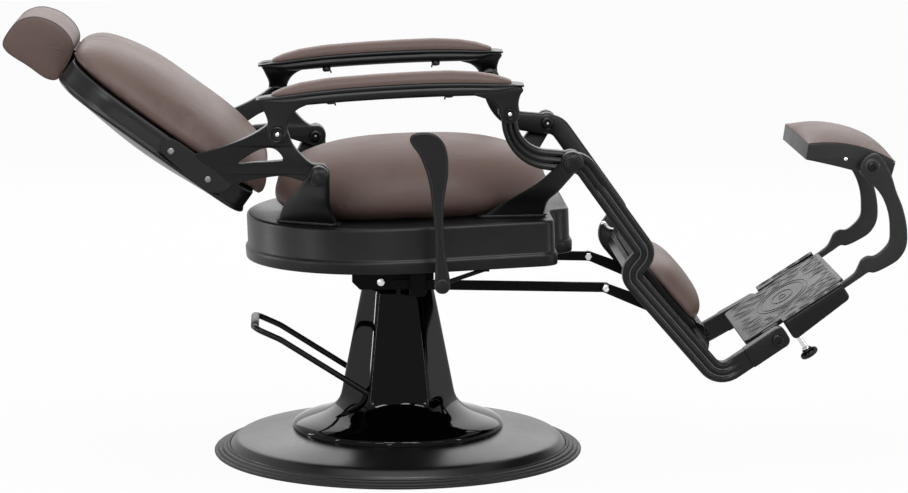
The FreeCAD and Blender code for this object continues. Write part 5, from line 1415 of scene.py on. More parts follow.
@dataclass
class Back:
    """Reclining back with its brackets and headrest."""

    low: float = 68.0
    high: float = 462.0
    half_width: float = 250.0
    front: float = -102.5
    depth: float = 39.0
    bulge: float = 33.0
    corner_radii: tuple[float, ...] = (55.0, 105.0, 105.0, 55.0)
    front_lip: Outline = ((7, -12), (6, -0.6), (4.6, 0.4), (1.6, 0.2), (0.3, -1.4))
    rear_lip: Outline = ((0, 9), (0.6, 7.4), (2.6, 6), (3.6, 3.6), (3.4, 1), (1.4, -0.8), (-2, -1.6))
    pad_middle: float = 258.0
    pad_half: Flat = (215.0, 249.0)
    pad_height: float = 72.0
    pad_profile: Outline = (
        (0, 1), (0.12, 0.998), (0.25, 0.99), (0.38, 0.968), (0.5, 0.928), (0.6, 0.876), (0.7, 0.802),
        (0.79, 0.708), (0.86, 0.612), (0.915, 0.51), (0.955, 0.405), (0.982, 0.295), (0.997, 0.19),
        (1, 0.11), (0.994, 0.05), (0.98, 0.012), (0.95, 0), (0.6, 0), (0, 0))
    bracket_plate: Outline = (
        (-425, 598), (-419, 611), (-407, 616), (-362, 588), (-326, 558), (-299, 533), (-312, 521),
        (-331, 518.5), (-352, 530), (-392, 562))
    bracket_arms: Outline = (
        (-364, 585.5), (-340, 594), (-315, 602), (-270, 621), (-244, 636.5), (-232, 645), (-219, 648),
        (-205, 642.5), (-199.5, 628), (-192, 608), (-177, 589), (-158, 573.5), (-137, 571), (-127.5, 556),
        (-132, 540), (-147, 533), (-170, 540), (-209, 550.5), (-238, 547.6), (-271, 541.3), (-299, 533.5),
        (-326, 556.5))
    bracket_window: Outline = (
        (-287, 573), (-267, 588.5), (-244.5, 600), (-226, 600.5), (-213, 590), (-209, 580), (-222, 577.5),
        (-258, 575))
    bracket_bolts: Outline = ((-405, 593.5), (-341, 543))
    head_outline: Outline = (
        (-707, 768), (-701, 755.5), (-664, 729.5), (-628, 705), (-612.5, 704), (-602, 717), (-588, 741),
        (-582, 763), (-590, 783), (-615, 805.5), (-651, 816), (-679, 808), (-697, 789))
    head_half: float = 104.0
    head_ends: Outline = (
        (0.02, 4.6), (0.25, 4.4), (0.5, 3.9), (0.62, 3.4), (0.7, 3), (0.78, 2.5), (0.84, 2), (0.89, 1.5),
        (0.93, 1), (0.975, 0.2), (0.988, -0.8), (0.984, -1.8), (0.992, -3), (1, -6), (1.006, -14),
        (1.012, -34), (1.017, -64), (1.019, -104))
    head_pucker: Flat = (-592.0, 744.0)
    head_pucker_radius: float = 24.0
    head_pucker_depth: float = 2.4
    head_pucker_rate: Flat = (0.35, 0.85)
    seam_share: float = 0.989
    seam_radius: float = 1.5
    pad_power: float = 4.0
    crown_fall: float = 0.06
    crown_zone: Flat = (60.0, 170.0)
    hang: float = 9.0
    hang_zone: Flat = (182.0, 208.0)
    plate_layer: Flat = (250.2, 259.0)
    arm_thick: float = 19.0
    boss_radius: float = 18.5
    rear_rows: tuple[float, ...] = (0.965, 0.92, 0.84, 0.72, 0.55, 0.36, 0.16, 0.02)
    fold: Flat = (-331.0, 557.5)
    fold_ahead: Flat = (0.611, 0.791)
    fold_length: float = 105.0

    def build(self, shop: Workshop) -> None:
        """Make the back's pieces.

        Args:
            shop: the workshop that makes the pieces.
        """
        shop.piece("shell", self.shell(), SHELL, "back", ["back_shell"], sharp=50.0)
        shop.soft("back_pad", self.pad(), "back", "back_cushion", 5.0)
        for side in Side:
            shop.piece("bracket_" + side.tag, self.bracket().on(side), CAST, "back",
                       ["back_bracket_" + side.tag], flat=True)
        shop.piece("bracket_screws", self.bracket_screws(), DULL_ZINC, "back", ["bracket_bolts"])
        pins = pivot_pin(ARM_REAR_PIVOT, ring_boss(15.0, 6.5), 12.0)
        shop.piece("arm_rear_bosses", pins, BOLT_BLACK, "back", ["arm_rear_pins"])
        shop.soft("head_pad", self.head(), "headrest", "headrest_pad")
        shop.piece("head_seams", self.head_seams(), PIPING, "headrest")
        # The headrest's socket and posts get the darker copy of satin black: painted shade
        shop.dress(back_board=BOARD, headrest_socket=SHADE_BLACK, headrest_frame=SHADE_BLACK)

    def outline(self) -> np.ndarray:
        """Outline of the shell in the back's frame."""
        corners = rectangle((self.low, self.high), (-self.half_width, self.half_width))
        return even(rounded(corners, self.corner_radii, step=4.0), 5.0)

    def shell(self) -> Shape:
        """Dome-backed shell with a rolled lip round its rear edge.

        Returns:
            The shape.
        """
        loop = self.outline()
        middle = np.array([(self.low + self.high) / 2, 0.0])
        into = inward(loop)
        long, wide = (self.high - self.low) / 2 + 6.0, self.half_width + 6.0

        def dome(points: np.ndarray) -> np.ndarray:
            """Level of the rear face, which swells to its middle both ways."""
            swell = (1 - ((points[:, 0] - middle[0]) / long) ** 2) * (1 - (points[:, 1] / wide) ** 2)
            return self.front - self.depth - self.bulge * swell

        rings = [at_z(loop + into * inset, self.front + lift) for inset, lift in self.front_lip]
        rear = dome(loop)
        rings += [at_z(loop, self.front + (rear - self.front) * share) for share in (0.35, 0.7)]
        rings += [at_z(loop - into * grow, rear + lift) for grow, lift in self.rear_lip]
        for share in self.rear_rows:
            ring = middle + (loop - middle) * share
            rings.append(at_z(ring, dome(ring) - 1.6))
        return loft(rings).placed(BACK_FRAME)

    def pad(self) -> Shape:
        """Crowned cushion, tucked into the shell.

        Returns:
            The shape.
        """
        profile = [(share, self.pad_height * level) for share, level in self.pad_profile]
        shape = turned(profile, SOFT_STEPS, oval(*self.pad_half, self.pad_power))

        def settle(points: np.ndarray) -> np.ndarray:
            """Let the crown fall away towards the headrest, and the low end hang past the shell.

            Args:
                points: the shape's points.

            Returns:
                The moved points.
            """
            points[:, 2] *= 1 - self.crown_fall * smooth_step(points[:, 0], *self.crown_zone)
            points[:, 2] -= self.hang * smooth_step(-points[:, 0], *self.hang_zone)
            return points

        place = Matrix.Translation((self.pad_middle, 0.0, self.front + 0.4))
        return shape.bent(settle).placed(BACK_FRAME @ place)

    def bracket(self) -> Shape:
        """Casting with a plate on the shell's side and two arms that bend outwards to the pivots.

        Returns:
            The shape.
        """
        low, high = self.plate_layer
        foot = plate([even(spline(self.bracket_plate, 6), 3.0)], low, high, 1.6)
        loops = [even(spline(points, 6), 3.0) for points in (self.bracket_arms, self.bracket_window)]
        arms = plate(loops, -self.arm_thick / 2, self.arm_thick / 2, 1.8)

        def lean(points: np.ndarray) -> np.ndarray:
            """Lean the arms out in one flat facet from the plate to the pivots' layer.

            Args:
                points: the shape's points.

            Returns:
                The moved points.
            """
            along = (points[:, [0, 2]] - self.fold) @ np.array(self.fold_ahead)
            share = np.clip(along / self.fold_length, 0.0, 1.0)
            inner = low + 0.1 + (INNER_FACE - low + 0.1) * share
            outer = high + (INNER_END - high) * share
            points[:, 1] = inner + (outer - inner) * (points[:, 1] / self.arm_thick + 0.5)
            return points

        bosses = [pivot_boss(pivot, self.boss_radius) for pivot in (REAR_PIVOT, ARM_REAR_PIVOT)]
        return total([foot, arms.bent(lean), *bosses])

    def bracket_screws(self) -> Shape:
        """Socket screws that hold the brackets on the shell."""
        heads = [about_y(socket_screw(6.2, 3.6), place, self.plate_layer[1]) for place in self.bracket_bolts]
        return total(heads).both()

    def head_ring(self, share: float, y: float) -> np.ndarray:
        """Outline of the headrest shrunk towards its middle, at a place along Y.

        Args:
            share: share of the full size.
            y: place along Y.

        Returns:
            The points.
        """
        loop = even(spline(self.head_outline, 10), 4.0)
        middle = loop.mean(axis=0)
        return at_y(middle + (loop - middle) * share, y)

    def head(self) -> Shape:
        """Headrest: a rounded block with domed ends.

        Returns:
            The shape.
        """
        half = self.head_half
        stations = [(share, half + reach) for share, reach in self.head_ends]
        stations += [(share, -y) for share, y in reversed(stations[:-1])]

        def pucker(points: np.ndarray) -> np.ndarray:
            """Gather the ends' covers where they are pulled down beside the back.

            Args:
                points: the shape's points.

            Returns:
                The moved points.
            """
            away = np.hypot(*(points[:, [0, 2]] - self.head_pucker).T) / self.head_pucker_radius
            wave = 0.5 + 0.5 * np.sin(points[:, [0, 2]] @ np.array(self.head_pucker_rate))
            dent = self.head_pucker_depth * np.exp(-away ** 2) * wave
            points[:, 1] -= np.sign(points[:, 1]) * dent * (np.abs(points[:, 1]) > half - 8.0)
            return points

        return loft([self.head_ring(share, y) for share, y in stations]).bent(pucker)

    def head_seams(self) -> Shape:
        """Piping round both ends of the headrest."""
        path = self.head_ring(self.seam_share, self.head_half - 1.6)
        return tube(path, self.seam_radius, 8, closed=True).both()


@dataclass
class Arms:
    """The two armrests."""

    half_length: float = 234.0
    half_depth: float = 13.5
    beak: tuple[float, ...] = (0.3, 1.0, 2.4, 4.5, 7.5, 11.0, 15.0, 21.0, 29.0, 38.0)
    rail_section: Outline = (
        (0, 13.5), (15, 13.5), (24, 13.4), (28.6, 12.8), (30.6, 11.2), (31, 9), (30.2, 6.8), (28.4, 5.4),
        (27.6, 4.4), (28, 3.2), (29.4, 1.4), (30, -1.2), (29.6, -4.4), (28, -8), (25, -11), (20, -12.9),
        (12, -13.5), (0, -13.5))
    rear_leg: Outline = (
        (-251, 690), (-244, 674), (-235.5, 652), (-237, 629), (-231.5, 616), (-219, 611), (-206.5, 616),
        (-201, 629), (-200.5, 646), (-194, 661), (-182, 672.5), (-164, 680.5), (-150, 688), (-180, 696),
        (-225, 695))
    front_leg: Outline = (
        (120, 697), (134, 691.5), (151, 686), (164, 674.5), (169, 662), (173, 650.5), (186, 644.5),
        (199, 650.5), (203, 663), (201.5, 680), (205, 695), (210, 704), (196, 714), (150, 710))
    pad_span: Flat = (-207.0, 213.0)
    pad_half: float = 27.5
    pad_crown: Outline = (
        (-207, 10.5), (-202, 13), (-187, 19.2), (-154, 27), (-106, 32.2), (-25, 34.4), (39, 34.7),
        (104, 33.8), (152, 29), (184, 22.4), (206, 14.5), (213, 11))
    pad_end: float = 0.45
    pad_taper: float = 40.0
    pad_power: Flat = (0.8, 0.72)
    arch: Flat = (17.0, 13.6)
    arch_half: float = 236.0
    arch_power: float = 2.4
    beak_round: float = 12.0
    beak_width: float = 0.55
    beak_depth: float = 0.24
    beak_length: float = 60.0
    rail_even: float = 186.0
    rail_rows: int = 24
    belly: float = -8.6
    belly_drop: float = 3.0
    belly_half: float = 160.0
    pad_foot: Flat = (0.97, -0.2)
    pivot_screw: Outline = ((0, 0), (3.6, 0), (3.4, 1.2), (2.2, 2), (0, 2.3))
    leg_half: float = 11.0
    flare_zone: Flat = (-34.0, 3.0)
    flare_shift: float = 10.0
    screws: Flat = (-104.0, 104.0)
    screw_offset: Flat = (-23.0, -7.0)
    knob: Outline = (
        (0, 0), (4, 0), (4.2, -1), (7.4, -1.8), (8.2, -3.6), (7.6, -7.6), (5.6, -9), (0, -9.4))
    stem: Outline = ((0, -4), (5, -6), (7.5, -8.5), (7.8, -12))

    def build(self, shop: Workshop) -> None:
        """Make both armrests.

        Args:
            shop: the workshop that makes the pieces.
        """
        for side in Side:
            body = "arm_" + side.tag
            shop.piece("arm_rail_" + side.tag, self.rail().on(side), CAST, body, ["arm_frame_" + side.tag],
                       sharp=60.0)
            shop.soft("arm_cushion_" + side.tag, self.pad().on(side), body, "arm_pad_" + side.tag)
            shop.piece("arm_thumb_screws_" + side.tag, self.thumb_screws().on(side), BOLT_BLACK, body,
                       ["arm_screws_" + side.tag])
            head = turned(self.pivot_screw, 20)
            for name, pivot, owner in (("rear", ARM_REAR_PIVOT, "back"), ("front", ARM_FRONT_PIVOT, "leg")):
                screw = about_y(head, pivot, OUTER_END + 1.7)
                shop.piece("arm_" + name + "_screw_" + side.tag, screw.on(side), STEEL, owner)

    def rail_top(self, x: float) -> float:
        """Level of the rail's top, which arches between its ends."""
        return self.arch[0] - self.arch[1] * (abs(x) / self.arch_half) ** self.arch_power

    def rail(self) -> Shape:
        """Moulded rail with a thin beak at both ends and two legs.

        Returns:
            The shape.
        """
        half = np.array(self.rail_section)
        section = np.vstack([half, half[-2:0:-1] * np.array([-1.0, 1.0])])
        rings = []
        span = self.half_length
        ends = span - np.array(self.beak)
        for x in [*(-ends), *np.linspace(-self.rail_even, self.rail_even, self.rail_rows), *ends[::-1]]:
            gone = span - abs(x)
            width = math.sqrt(1 - (1 - min(gone / self.beak_round, 1.0)) ** 2)
            high, low = self.rail_top(x), self.belly - self.belly_drop * (x / self.belly_half) ** 2
            thin = self.beak_depth + (1 - self.beak_depth) * smooth_step(gone, 0.0, self.beak_length)
            low = high - (high - low) * thin
            ring = section.copy()
            ring[:, 0] *= self.beak_width + (1 - self.beak_width) * width
            ring[:, 1] = low + (ring[:, 1] / self.half_depth + 1) / 2 * (high - low)
            rings.append(np.column_stack([np.full(len(ring), x), ring]))
        rail = loft(rings).placed(ARM_FRAME)
        return total([rail, self.leg(self.rear_leg), self.leg(self.front_leg)])

    def leg(self, points: Outline) -> Shape:
        """Leg that widens where it runs into the rail.

        Args:
            points: the leg's outline.

        Returns:
            The shape.
        """
        shape = plate([even(spline(points, 8), 2.5)], -self.leg_half, self.leg_half, 4.0)

        def flare(places: np.ndarray) -> np.ndarray:
            """Widen the leg towards the rail.

            Args:
                places: the shape's points.

            Returns:
                The moved points.
            """
            rise = (places[:, 0] - ARM_MIDDLE[0]) * math.tan(math.radians(ARM_TILT))
            share = smooth_step(places[:, 2] - ARM_MIDDLE[2] + self.half_depth - rise, *self.flare_zone)
            places[:, 1] = OUTER_MIDDLE - self.flare_shift * share + places[:, 1] * (1 + share)
            return places

        return shape.bent(flare)

    def pad(self) -> Shape:
        """Crowned pad, tapered to both ends.

        Returns:
            The shape.
        """
        stations = np.array(self.pad_crown)
        start, end = self.pad_span
        rings = []
        bends = np.linspace(0.0, math.pi, 25)
        for share in (1 - np.cos(np.linspace(0.0, math.pi, 49))) / 2:
            x = start + (end - start) * min(max(share, 0.002), 0.998)
            near = min(x - start, end - x)
            full = math.sqrt(1 - (1 - min(near / self.pad_taper, 1.0)) ** 2)
            wide = self.pad_half * (self.pad_end + (1 - self.pad_end) * full)
            base = self.rail_top(x)
            crown = max(float(np.interp(x, stations[:, 0], stations[:, 1])) - base, 1.0)
            aside = wide * np.sign(np.cos(bends)) * np.abs(np.cos(bends)) ** self.pad_power[0]
            rise = crown * np.sin(bends) ** self.pad_power[1]
            foot, depth = self.pad_foot
            low = np.array([[-wide * foot, depth], [0.0, depth], [wide * foot, depth]])
            ring = np.vstack([np.column_stack([aside, rise]), low])
            rings.append(np.column_stack([np.full(len(ring), x), ring + np.array([0.0, base + 0.3])]))
        return loft(rings).placed(ARM_FRAME)

    def thumb_screws(self) -> Shape:
        """Knobs with bent stems under the rail.

        Returns:
            The shape.
        """
        shapes = []
        for x in self.screws:
            lean = -math.copysign(1.0, x)
            path = spline([(lean * aside, 0.0, z) for aside, z in self.stem], 5, closed=False)
            screw = turned(self.knob, 20) + tube(path, 1.5, 8)
            shapes.append(screw.placed(Matrix.Translation((x, *self.screw_offset))))
        return total(shapes).placed(ARM_FRAME)


@dataclass
class LegRest:
    """Linked leg rest: two ridged castings, a panel and the shin pad."""

    corners: Outline = ((193, 584), (316, 570), (435, 404), LEG_BEND, LEG_TOE)
    radii: tuple[float, ...] = (72.0, 32.0, 24.0, 24.0, 36.0)
    width: float = 37.0
    ridge_count: int = 3
    ridge_level: Flat = (9.4, 3.4)
    plain_level: float = 11.0
    bead_radius: float = 1.25
    bead_level: Flat = (10.6, 3.4)
    bead_start: Flat = (215.0, 265.0)
    top_y: float = 278.0
    foot_y: float = 172.0
    plain_end: float = 62.0
    fade: Flat = (55.0, 15.0)
    narrow: float = 0.72
    narrow_run: Flat = (10.0, 150.0)
    rim: float = 7.4
    inner_section: Outline = ((-10.5, 0), (-13, 2.4), (-14, 5))
    block_end: float = 20.5
    block_layer: Flat = (-14.0, 13.4)
    hook: tuple[Space, ...] = (
        (396, 218, 386), (402, 217, 389), (407, 217, 382), (413, 217, 377), (419, 218, 376))
    board_span: Flat = (4.0, 166.0)
    board_half: float = 186.0
    board_base: float = 16.6
    pad_power: float = 4.2
    pitch: float = 8.0
    hole: float = 2.7
    sheet: float = 1.4
    columns: int = 22
    pad_half: Flat = (66.0, 190.0)
    pad_middle: float = 97.0
    pad_base: float = 30.6
    pad_height: float = 43.0
    nose: Outline = ((160, 34), (171, 39), (186, 38), (201, 29.5), (212, 17.5), (217, 8))
    pad_profile: Outline = (
        (0, 1), (0.15, 0.996), (0.3, 0.982), (0.45, 0.952), (0.58, 0.902), (0.7, 0.826), (0.8, 0.728),
        (0.88, 0.612), (0.935, 0.49), (0.97, 0.375), (0.99, 0.265), (1, 0.16), (0.998, 0.07),
        (0.985, 0.015), (0.96, 0), (0.6, 0), (0, 0))

    def build(self, shop: Workshop) -> None:
        """Make the leg rest's pieces.

        Args:
            shop: the workshop that makes the pieces.
        """
        for side in Side:
            shop.piece("leg_casting_" + side.tag, self.casting().on(side), CAST, "leg",
                       ["leg_side_" + side.tag], sharp=55.0)
            # The beads are light grey: painted highlight lines along the castings
            shop.piece("leg_beads_" + side.tag, self.beads().on(side), BEAD_HIGHLIGHT, "leg")
        shop.soft("shin_cushion", self.pad(), "leg", "shin_pad")
        pins = pivot_pin(ARM_FRONT_PIVOT, ring_boss(11.0, 6.5), 12.0)
        shop.piece("arm_front_bosses", pins, BOLT_BLACK, "leg", ["arm_front_pins"])
        shop.piece("foot_screws", self.foot_screws(), BOLT_BLACK, "leg", ["foot_bolts"])
        shop.piece("shin_board", self.board(), BOARD, "leg")
        shop.piece("shin_nose", self.perforated_nose(), CAST, "leg")
        shop.piece("leg_hook", tube(spline(self.hook, 6, closed=False), 3.4, 10), STEEL, "leg")
        # The panel under the shin pad gets the darker copy of satin black: painted shade
        shop.dress(cross_bars=CAST, shin_panel=SHADE_BLACK, strut_pins=ZINC)

    def path(self) -> np.ndarray:
        """Centre line of a casting, toed in towards the foot.

        Returns:
            The points.
        """
        flat = [ARM_FRONT_PIVOT, *self.corners, FOOT_PIVOT]
        runs = [math.dist(one, two) for one, two in zip(flat, flat[1:])]
        toe = sum(runs[2:])
        points = []
        for index, (x, z) in enumerate(flat):
            share = max(0.0, sum(runs[2:index])) / toe
            points.append((x, self.top_y + share * (self.foot_y - self.top_y), z))
        return even(rounded(points, [0.0, *self.radii, 0.0], closed=False, step=4.0), 5.0, closed=False)

    def casting(self) -> Shape:
        """Side casting with three ridges, plain where it ends at the foot.

        Returns:
            The shape.
        """
        path = self.path()
        length = float(lengths(path)[-1])
        half = self.width / 2
        places = np.linspace(half, -half, 37)

        def section(share: float) -> np.ndarray:
            """Outline at a share of the length, as (outwards, across) points.

            Args:
                share: share of the length.

            Returns:
                The points.
            """
            plain, scale = self.run(share * length, length)
            wave = (1 + np.cos(2 * math.pi * places / (self.width / self.ridge_count))) / 2
            ridged = self.ridge_level[0] + self.ridge_level[1] * wave ** 0.6
            rim = ridged * (1 - plain) + self.plain_level * plain
            outer = np.column_stack([rim, places * scale])
            edge = half * scale
            outer[0] = (self.rim, edge)
            outer[-1] = (self.rim, -edge)
            inner = [(depth, inset - edge) for depth, inset in self.inner_section]
            return np.vstack([outer, inner, [(depth, -place) for depth, place in reversed(inner)]])

        body = swept(path, section)
        bosses = [pivot_boss(ARM_FRONT_PIVOT, 18.0), pivot_boss(FRONT_PIVOT, 19.0)]
        return total([body, *bosses, self.end_block(path)])

    def run(self, along: float, length: float) -> Flat:
        """Share of plainness and of the full width at a place along a casting.

        Args:
            along: distance along the casting.
            length: its whole length.

        Returns:
            The two shares.
        """
        end = length - self.plain_end
        plain = float(smooth_step(along, end - self.fade[0], end - self.fade[1]))
        wide = float(smooth_step(along, *self.narrow_run))
        return plain, self.narrow + (1 - self.narrow) * wide

    def beads(self) -> Shape:
        """Thin beads in the grooves between the ridges.

        Returns:
            The shape.
        """
        path = self.path()
        length = float(lengths(path)[-1])
        ring = polar(self.bead_radius, circle(8))

        def section(groove: float) -> Callable[[float], np.ndarray]:
            """Small round section in one groove, sunk in beside the lug and where the casting is plain.

            Args:
                groove: the groove's place across the casting.

            Returns:
                Function from the share of the length to the outline.
            """
            def outline(share: float) -> np.ndarray:
                """Outline at a share of the length.

                Args:
                    share: share of the length.

                Returns:
                    The points.
                """
                plain, scale = self.run(share * length, length)
                sunk = max(plain, 1 - float(smooth_step(share * length, *self.bead_start)))
                return ring + np.array([self.bead_level[0] - self.bead_level[1] * sunk, groove * scale])
            return outline

        return total([swept(path, section(groove)) for groove in (-self.width / 6, self.width / 6)])

    def end_block(self, path: np.ndarray) -> Shape:
        """Plain block at the foot, a little proud of the ridged run.

        Args:
            path: centre line of the casting.

        Returns:
            The block on the left side.
        """
        run = path[-1] - path[-4]
        ahead = run[[0, 2]] / np.linalg.norm(run[[0, 2]])
        across = np.array([-ahead[1], ahead[0]])
        pivot = np.array(FOOT_PIVOT)
        half = self.width / 2 + 0.6
        corners = [pivot + ahead * along + across * aside
                   for along, aside in rectangle((-self.plain_end, self.block_end), (-half, half))]
        low, high = (self.foot_y + shift for shift in self.block_layer)
        block = slab(corners, [1.5, 13.0, 13.0, 1.5], (low, high), 2.0)
        toe = run[1] / np.linalg.norm(run[[0, 2]])

        def toed(points: np.ndarray) -> np.ndarray:
            """Turn the block in line with the casting."""
            points[:, 1] += toe * np.minimum((points[:, [0, 2]] - pivot) @ ahead, 0.0)
            return points

        return block.bent(toed)

    def board(self) -> Shape:
        """Black board under the shin pad.

        Returns:
            The shape.
        """
        corners = rectangle(self.board_span, (-self.board_half, self.board_half))
        board = slab(corners, [14.0] * 4, (self.board_base, self.pad_base - 0.2), 3.0, 5.0)
        return board.placed(LEG_FRAME @ LYING)

    def perforated_nose(self) -> Shape:
        """Rounded perforated sheet below the shin pad.

        Returns:
            The shape.
        """
        pitch = self.pitch
        line = spline(self.nose, 8, closed=False)
        runs = lengths(line)
        turns = np.radians(np.arange(0.0, 360.0, 45.0))
        hole = polar(1.0, turns) * self.hole
        square = np.sign(np.round(polar(1.0, turns), 3)) * pitch / 2
        cells = []
        for row in range(int(runs[-1] // pitch)):
            for column in range(-self.columns, self.columns):
                middle = np.array([(row + 0.5) * pitch, (column + 0.5) * pitch])
                flats = [(square, 0.0), (hole, 0.0), (hole, -self.sheet), (square, -self.sheet)]
                cells.append(loft([at_z(middle + flat, z) for flat, z in flats], caps=False))

        def roll(points: np.ndarray) -> np.ndarray:
            """Bend the flat sheet along its line.

            Args:
                points: the shape's points.

            Returns:
                The moved points.
            """
            x, z = (np.interp(points[:, 0], runs, line[:, axis]) for axis in (0, 1))
            ahead, rise = (np.interp(points[:, 0], runs, slope) for slope in np.gradient(line, axis=0).T)
            tilt = np.arctan2(rise, ahead)
            lift = points[:, 2].copy()
            points[:, 0] = x - np.sin(tilt) * lift
            points[:, 2] = z + np.cos(tilt) * lift
            return points

        return total(cells).bent(roll).placed(LEG_FRAME)

    def pad(self) -> Shape:
        """Crowned shin pad on its panel.

        Returns:
            The shape.
        """
        profile = [(share, self.pad_base + self.pad_height * level) for share, level in self.pad_profile]
        shape = turned(profile, 200, oval(*self.pad_half, self.pad_power))
        return shape.placed(LEG_FRAME @ Matrix.Translation((self.pad_middle, 0.0, 0.0)))

    def foot_screws(self) -> Shape:
        """Socket screws at the foot pivots.

        Returns:
            The shape.
        """
        outer = self.foot_y + 14.0
        head = about_y(socket_screw(11.0, 6.0), FOOT_PIVOT, outer)
        shank = about_y(rod(6.9, 0.0, 44.0), FOOT_PIVOT, outer - 43.0)
        nut = about_y(rod(10.5, 0.0, 6.0, steps=6), FOOT_PIVOT, 142.5, outward=-1)
        return total([head, shank, nut]).both()


@dataclass
class Footrest:
    """Foot plate, side blocks, latch plunger and the sliding heel rest."""

    start: float = -52.0
    end: float = 160.0
    half: float = 147.0
    level: float = 21.5
    heel_pivot: Flat = (312.5, 169.0)
    heel_outline: Outline = (
        (30, 7.4), (150, 7.4), (186, 8), (205, 8), (212, 2.6), (240, -2), (264, -1.4), (286, 9.6),
        (304, 34.6), (319, 73.4), (325, 105), (334, 140), (336, 171), (329, 186), (314, 190), (297, 184),
        (289, 174), (292, 152), (298, 126), (298, 105), (291, 77), (278, 52), (266, 36), (247, 29),
        (228, 28.6), (219, 34.4), (206, 35), (196, 29), (184, 22), (160, 19.4), (30, 19.2))
    tray_low: Outline = ((-118, 11), (-41, -7), (36, -29))
    tray_top: Outline = ((-114, 39), (-45, 38.5), (45, 5))
    pad_height: float = 15.0
    rib_seed: int = 11
    rib_rows: int = 12
    rib_pitch: float = 11.4
    rib_length: Flat = (14.0, 44.0)
    rib_gap: Flat = (5.0, 10.0)
    rib_clear: Flat = (58.0, 87.0)
    rib_inset: Flat = (8.0, 7.0)
    rib_stagger: float = 14.0
    rib_shortest: float = 5.0
    rib_border: float = 6.0
    rib_bulge: Flat = (60.0, 9.0)
    rib_sway: Flat = (2.2, 9.0)
    rib_shift: float = 2.1
    ovals: Outline = ((53, 80), (45, 68), (22, 36), (7, 12))
    arm_layer: Flat = (150.2, 163.8)
    latch_place: Space = (36.0, -157.0, 0.0)
    rib_section: Outline = ((-1.4, -0.3), (-1, 0.5), (-0.4, 0.8), (0.4, 0.8), (1, 0.5), (1.4, -0.3))
    cover: Outline = ((26, 147.6), (62, 147.6), (62, 163.8), (152, 163.8), (152, 184.2), (26, 184.2))
    cover_radii: tuple[float, ...] = (2.0, 2.0, 1.0, 2.0, 5.0, 5.0)
    cover_rib_places: tuple[float, ...] = (168.6, 174.0, 179.4)
    cover_rib_starts: tuple[float, ...] = (33.0, 62.0, 93.0, 122.0)
    ear_radius: float = 17.0
    ear_layer: Flat = (142.8, 156.8)
    wall: Outline = ((26, -19), (152, -9), (152, 21.2), (26, 21.2))
    wall_layer: Flat = (164.3, 184.3)
    floor: Outline = ((26.4, -18), (151.6, -8.2), (151.6, 6), (26.4, 6))
    floor_layer: Flat = (149.8, 166.0)
    tongue: Outline = ((66, -3.5), (152, -3.5), (152, 12.4), (112, 12.4), (112, 1), (66, 1))
    tongue_layer: Flat = (123.2, 149.9)
    tie_plan: Outline = ((34, -157), (54, -157), (54, 157), (34, 157))
    tie_layer: Flat = (7.6, 12.2)
    heel_boss: Flat = (15.5, 8.0)
    heel_head: float = 165.0
    heel_shank: Flat = (4.9, 40.0)
    tray_screw: Outline = ((0, 0), (3.4, 0), (3.2, 0.9), (2, 1.5), (0, 1.7))
    tray_screw_place: Flat = (-46.0, 12.0)
    pin: Outline = (
        (0, 5.7), (4, 5.7), (5, 4.7), (5, -44), (6.4, -45), (6.4, -49), (4.6, -49.6), (0, -49.6))
    knob: tuple[Space, ...] = (
        (2, -48, 0), (8, -48, 0), (9, -49, 0), (9.6, -52, 0.2), (13.8, -53.4, 0.7), (16.2, -55.6, 1),
        (16.6, -58.6, 1), (16.2, -61.4, 1), (14, -63.4, 0.6), (9, -64.3, 0.2), (2, -64.5, 0))

    def build(self, shop: Workshop) -> None:
        """Make the footrest's pieces.

        Args:
            shop: the workshop that makes the pieces.
        """
        shop.piece("tread", self.tread(), CAST, "foot", ["foot_plate"], sharp=50.0)
        shop.piece("side_blocks", self.blocks(), SATIN, "foot", ["foot_blocks"], flat=True)
        shop.piece("plunger_pin", self.plunger_pin(), STEEL, "plunger", ["latch_plunger"])
        shop.piece("plunger_knob", self.plunger_knob(), BOLT_BLACK, "plunger")
        shop.piece("heel_arms", self.heel_arms(), HEEL, "heel", ["heel_frame"], sharp=50.0)
        shop.piece("heel_screws", self.heel_screws(), BOLT_BLACK, "heel", ["heel_bolts"])
        shop.piece("heel_shell", self.tray(), HEEL, "heel_pad", ["heel_tray"], sharp=35.0)
        shop.soft("heel_cushion", self.heel_pad(), "heel_pad", "heel_pad")
        shop.piece("heel_shell_screws", self.tray_screws(), STEEL, "heel_pad")

    def tread(self) -> Shape:
        """Plate with wavy grain-like ribs round plain ovals, and its two ears.

        Returns:
            The shape.
        """
        corners = rectangle((self.start, self.end), (-self.half, self.half))
        shapes = [slab(corners, [10.0] * 4, (self.level - 9.0, self.level), 2.0, 5.0).placed(LYING)]
        middle = (self.start + self.end) / 2
        turns = circle(72)
        for long_half, wide_half in self.ovals:
            ring = np.column_stack([middle + long_half * np.cos(turns), wide_half * np.sin(turns)])
            shapes.append(tube(at_z(ring, self.level), 0.9, 8, closed=True))
        shapes += self.ribs(middle)
        span = (self.level - 0.2, self.level + 2.0)
        strip = slab(self.cover, self.cover_radii, span, 0.8).placed(LYING)
        for place in self.cover_rib_places:
            for start in self.cover_rib_starts:
                along = np.linspace(start, start + 24.0, 9)
                line = np.column_stack([along, place + np.sin(along / 9.0 + place)])
                strip = strip + self.rib(at_z(line, span[1]))
        shapes.append(strip.both())
        for side in Side:
            low, high = sorted(side.value * face for face in self.ear_layer)
            half, radius = (high - low) / 2, self.ear_radius
            shapes.append(about_y(rod(radius, -half, half, 1.5, BOSS_STEPS), (0.0, 0.0), (low + high) / 2))
            shapes.append(slab(rectangle((-radius, radius), (0.0, 20.0)), [2.0] * 4, (low, high), 1.5, 4.0))
        return total(shapes).placed(FOOT_FRAME)

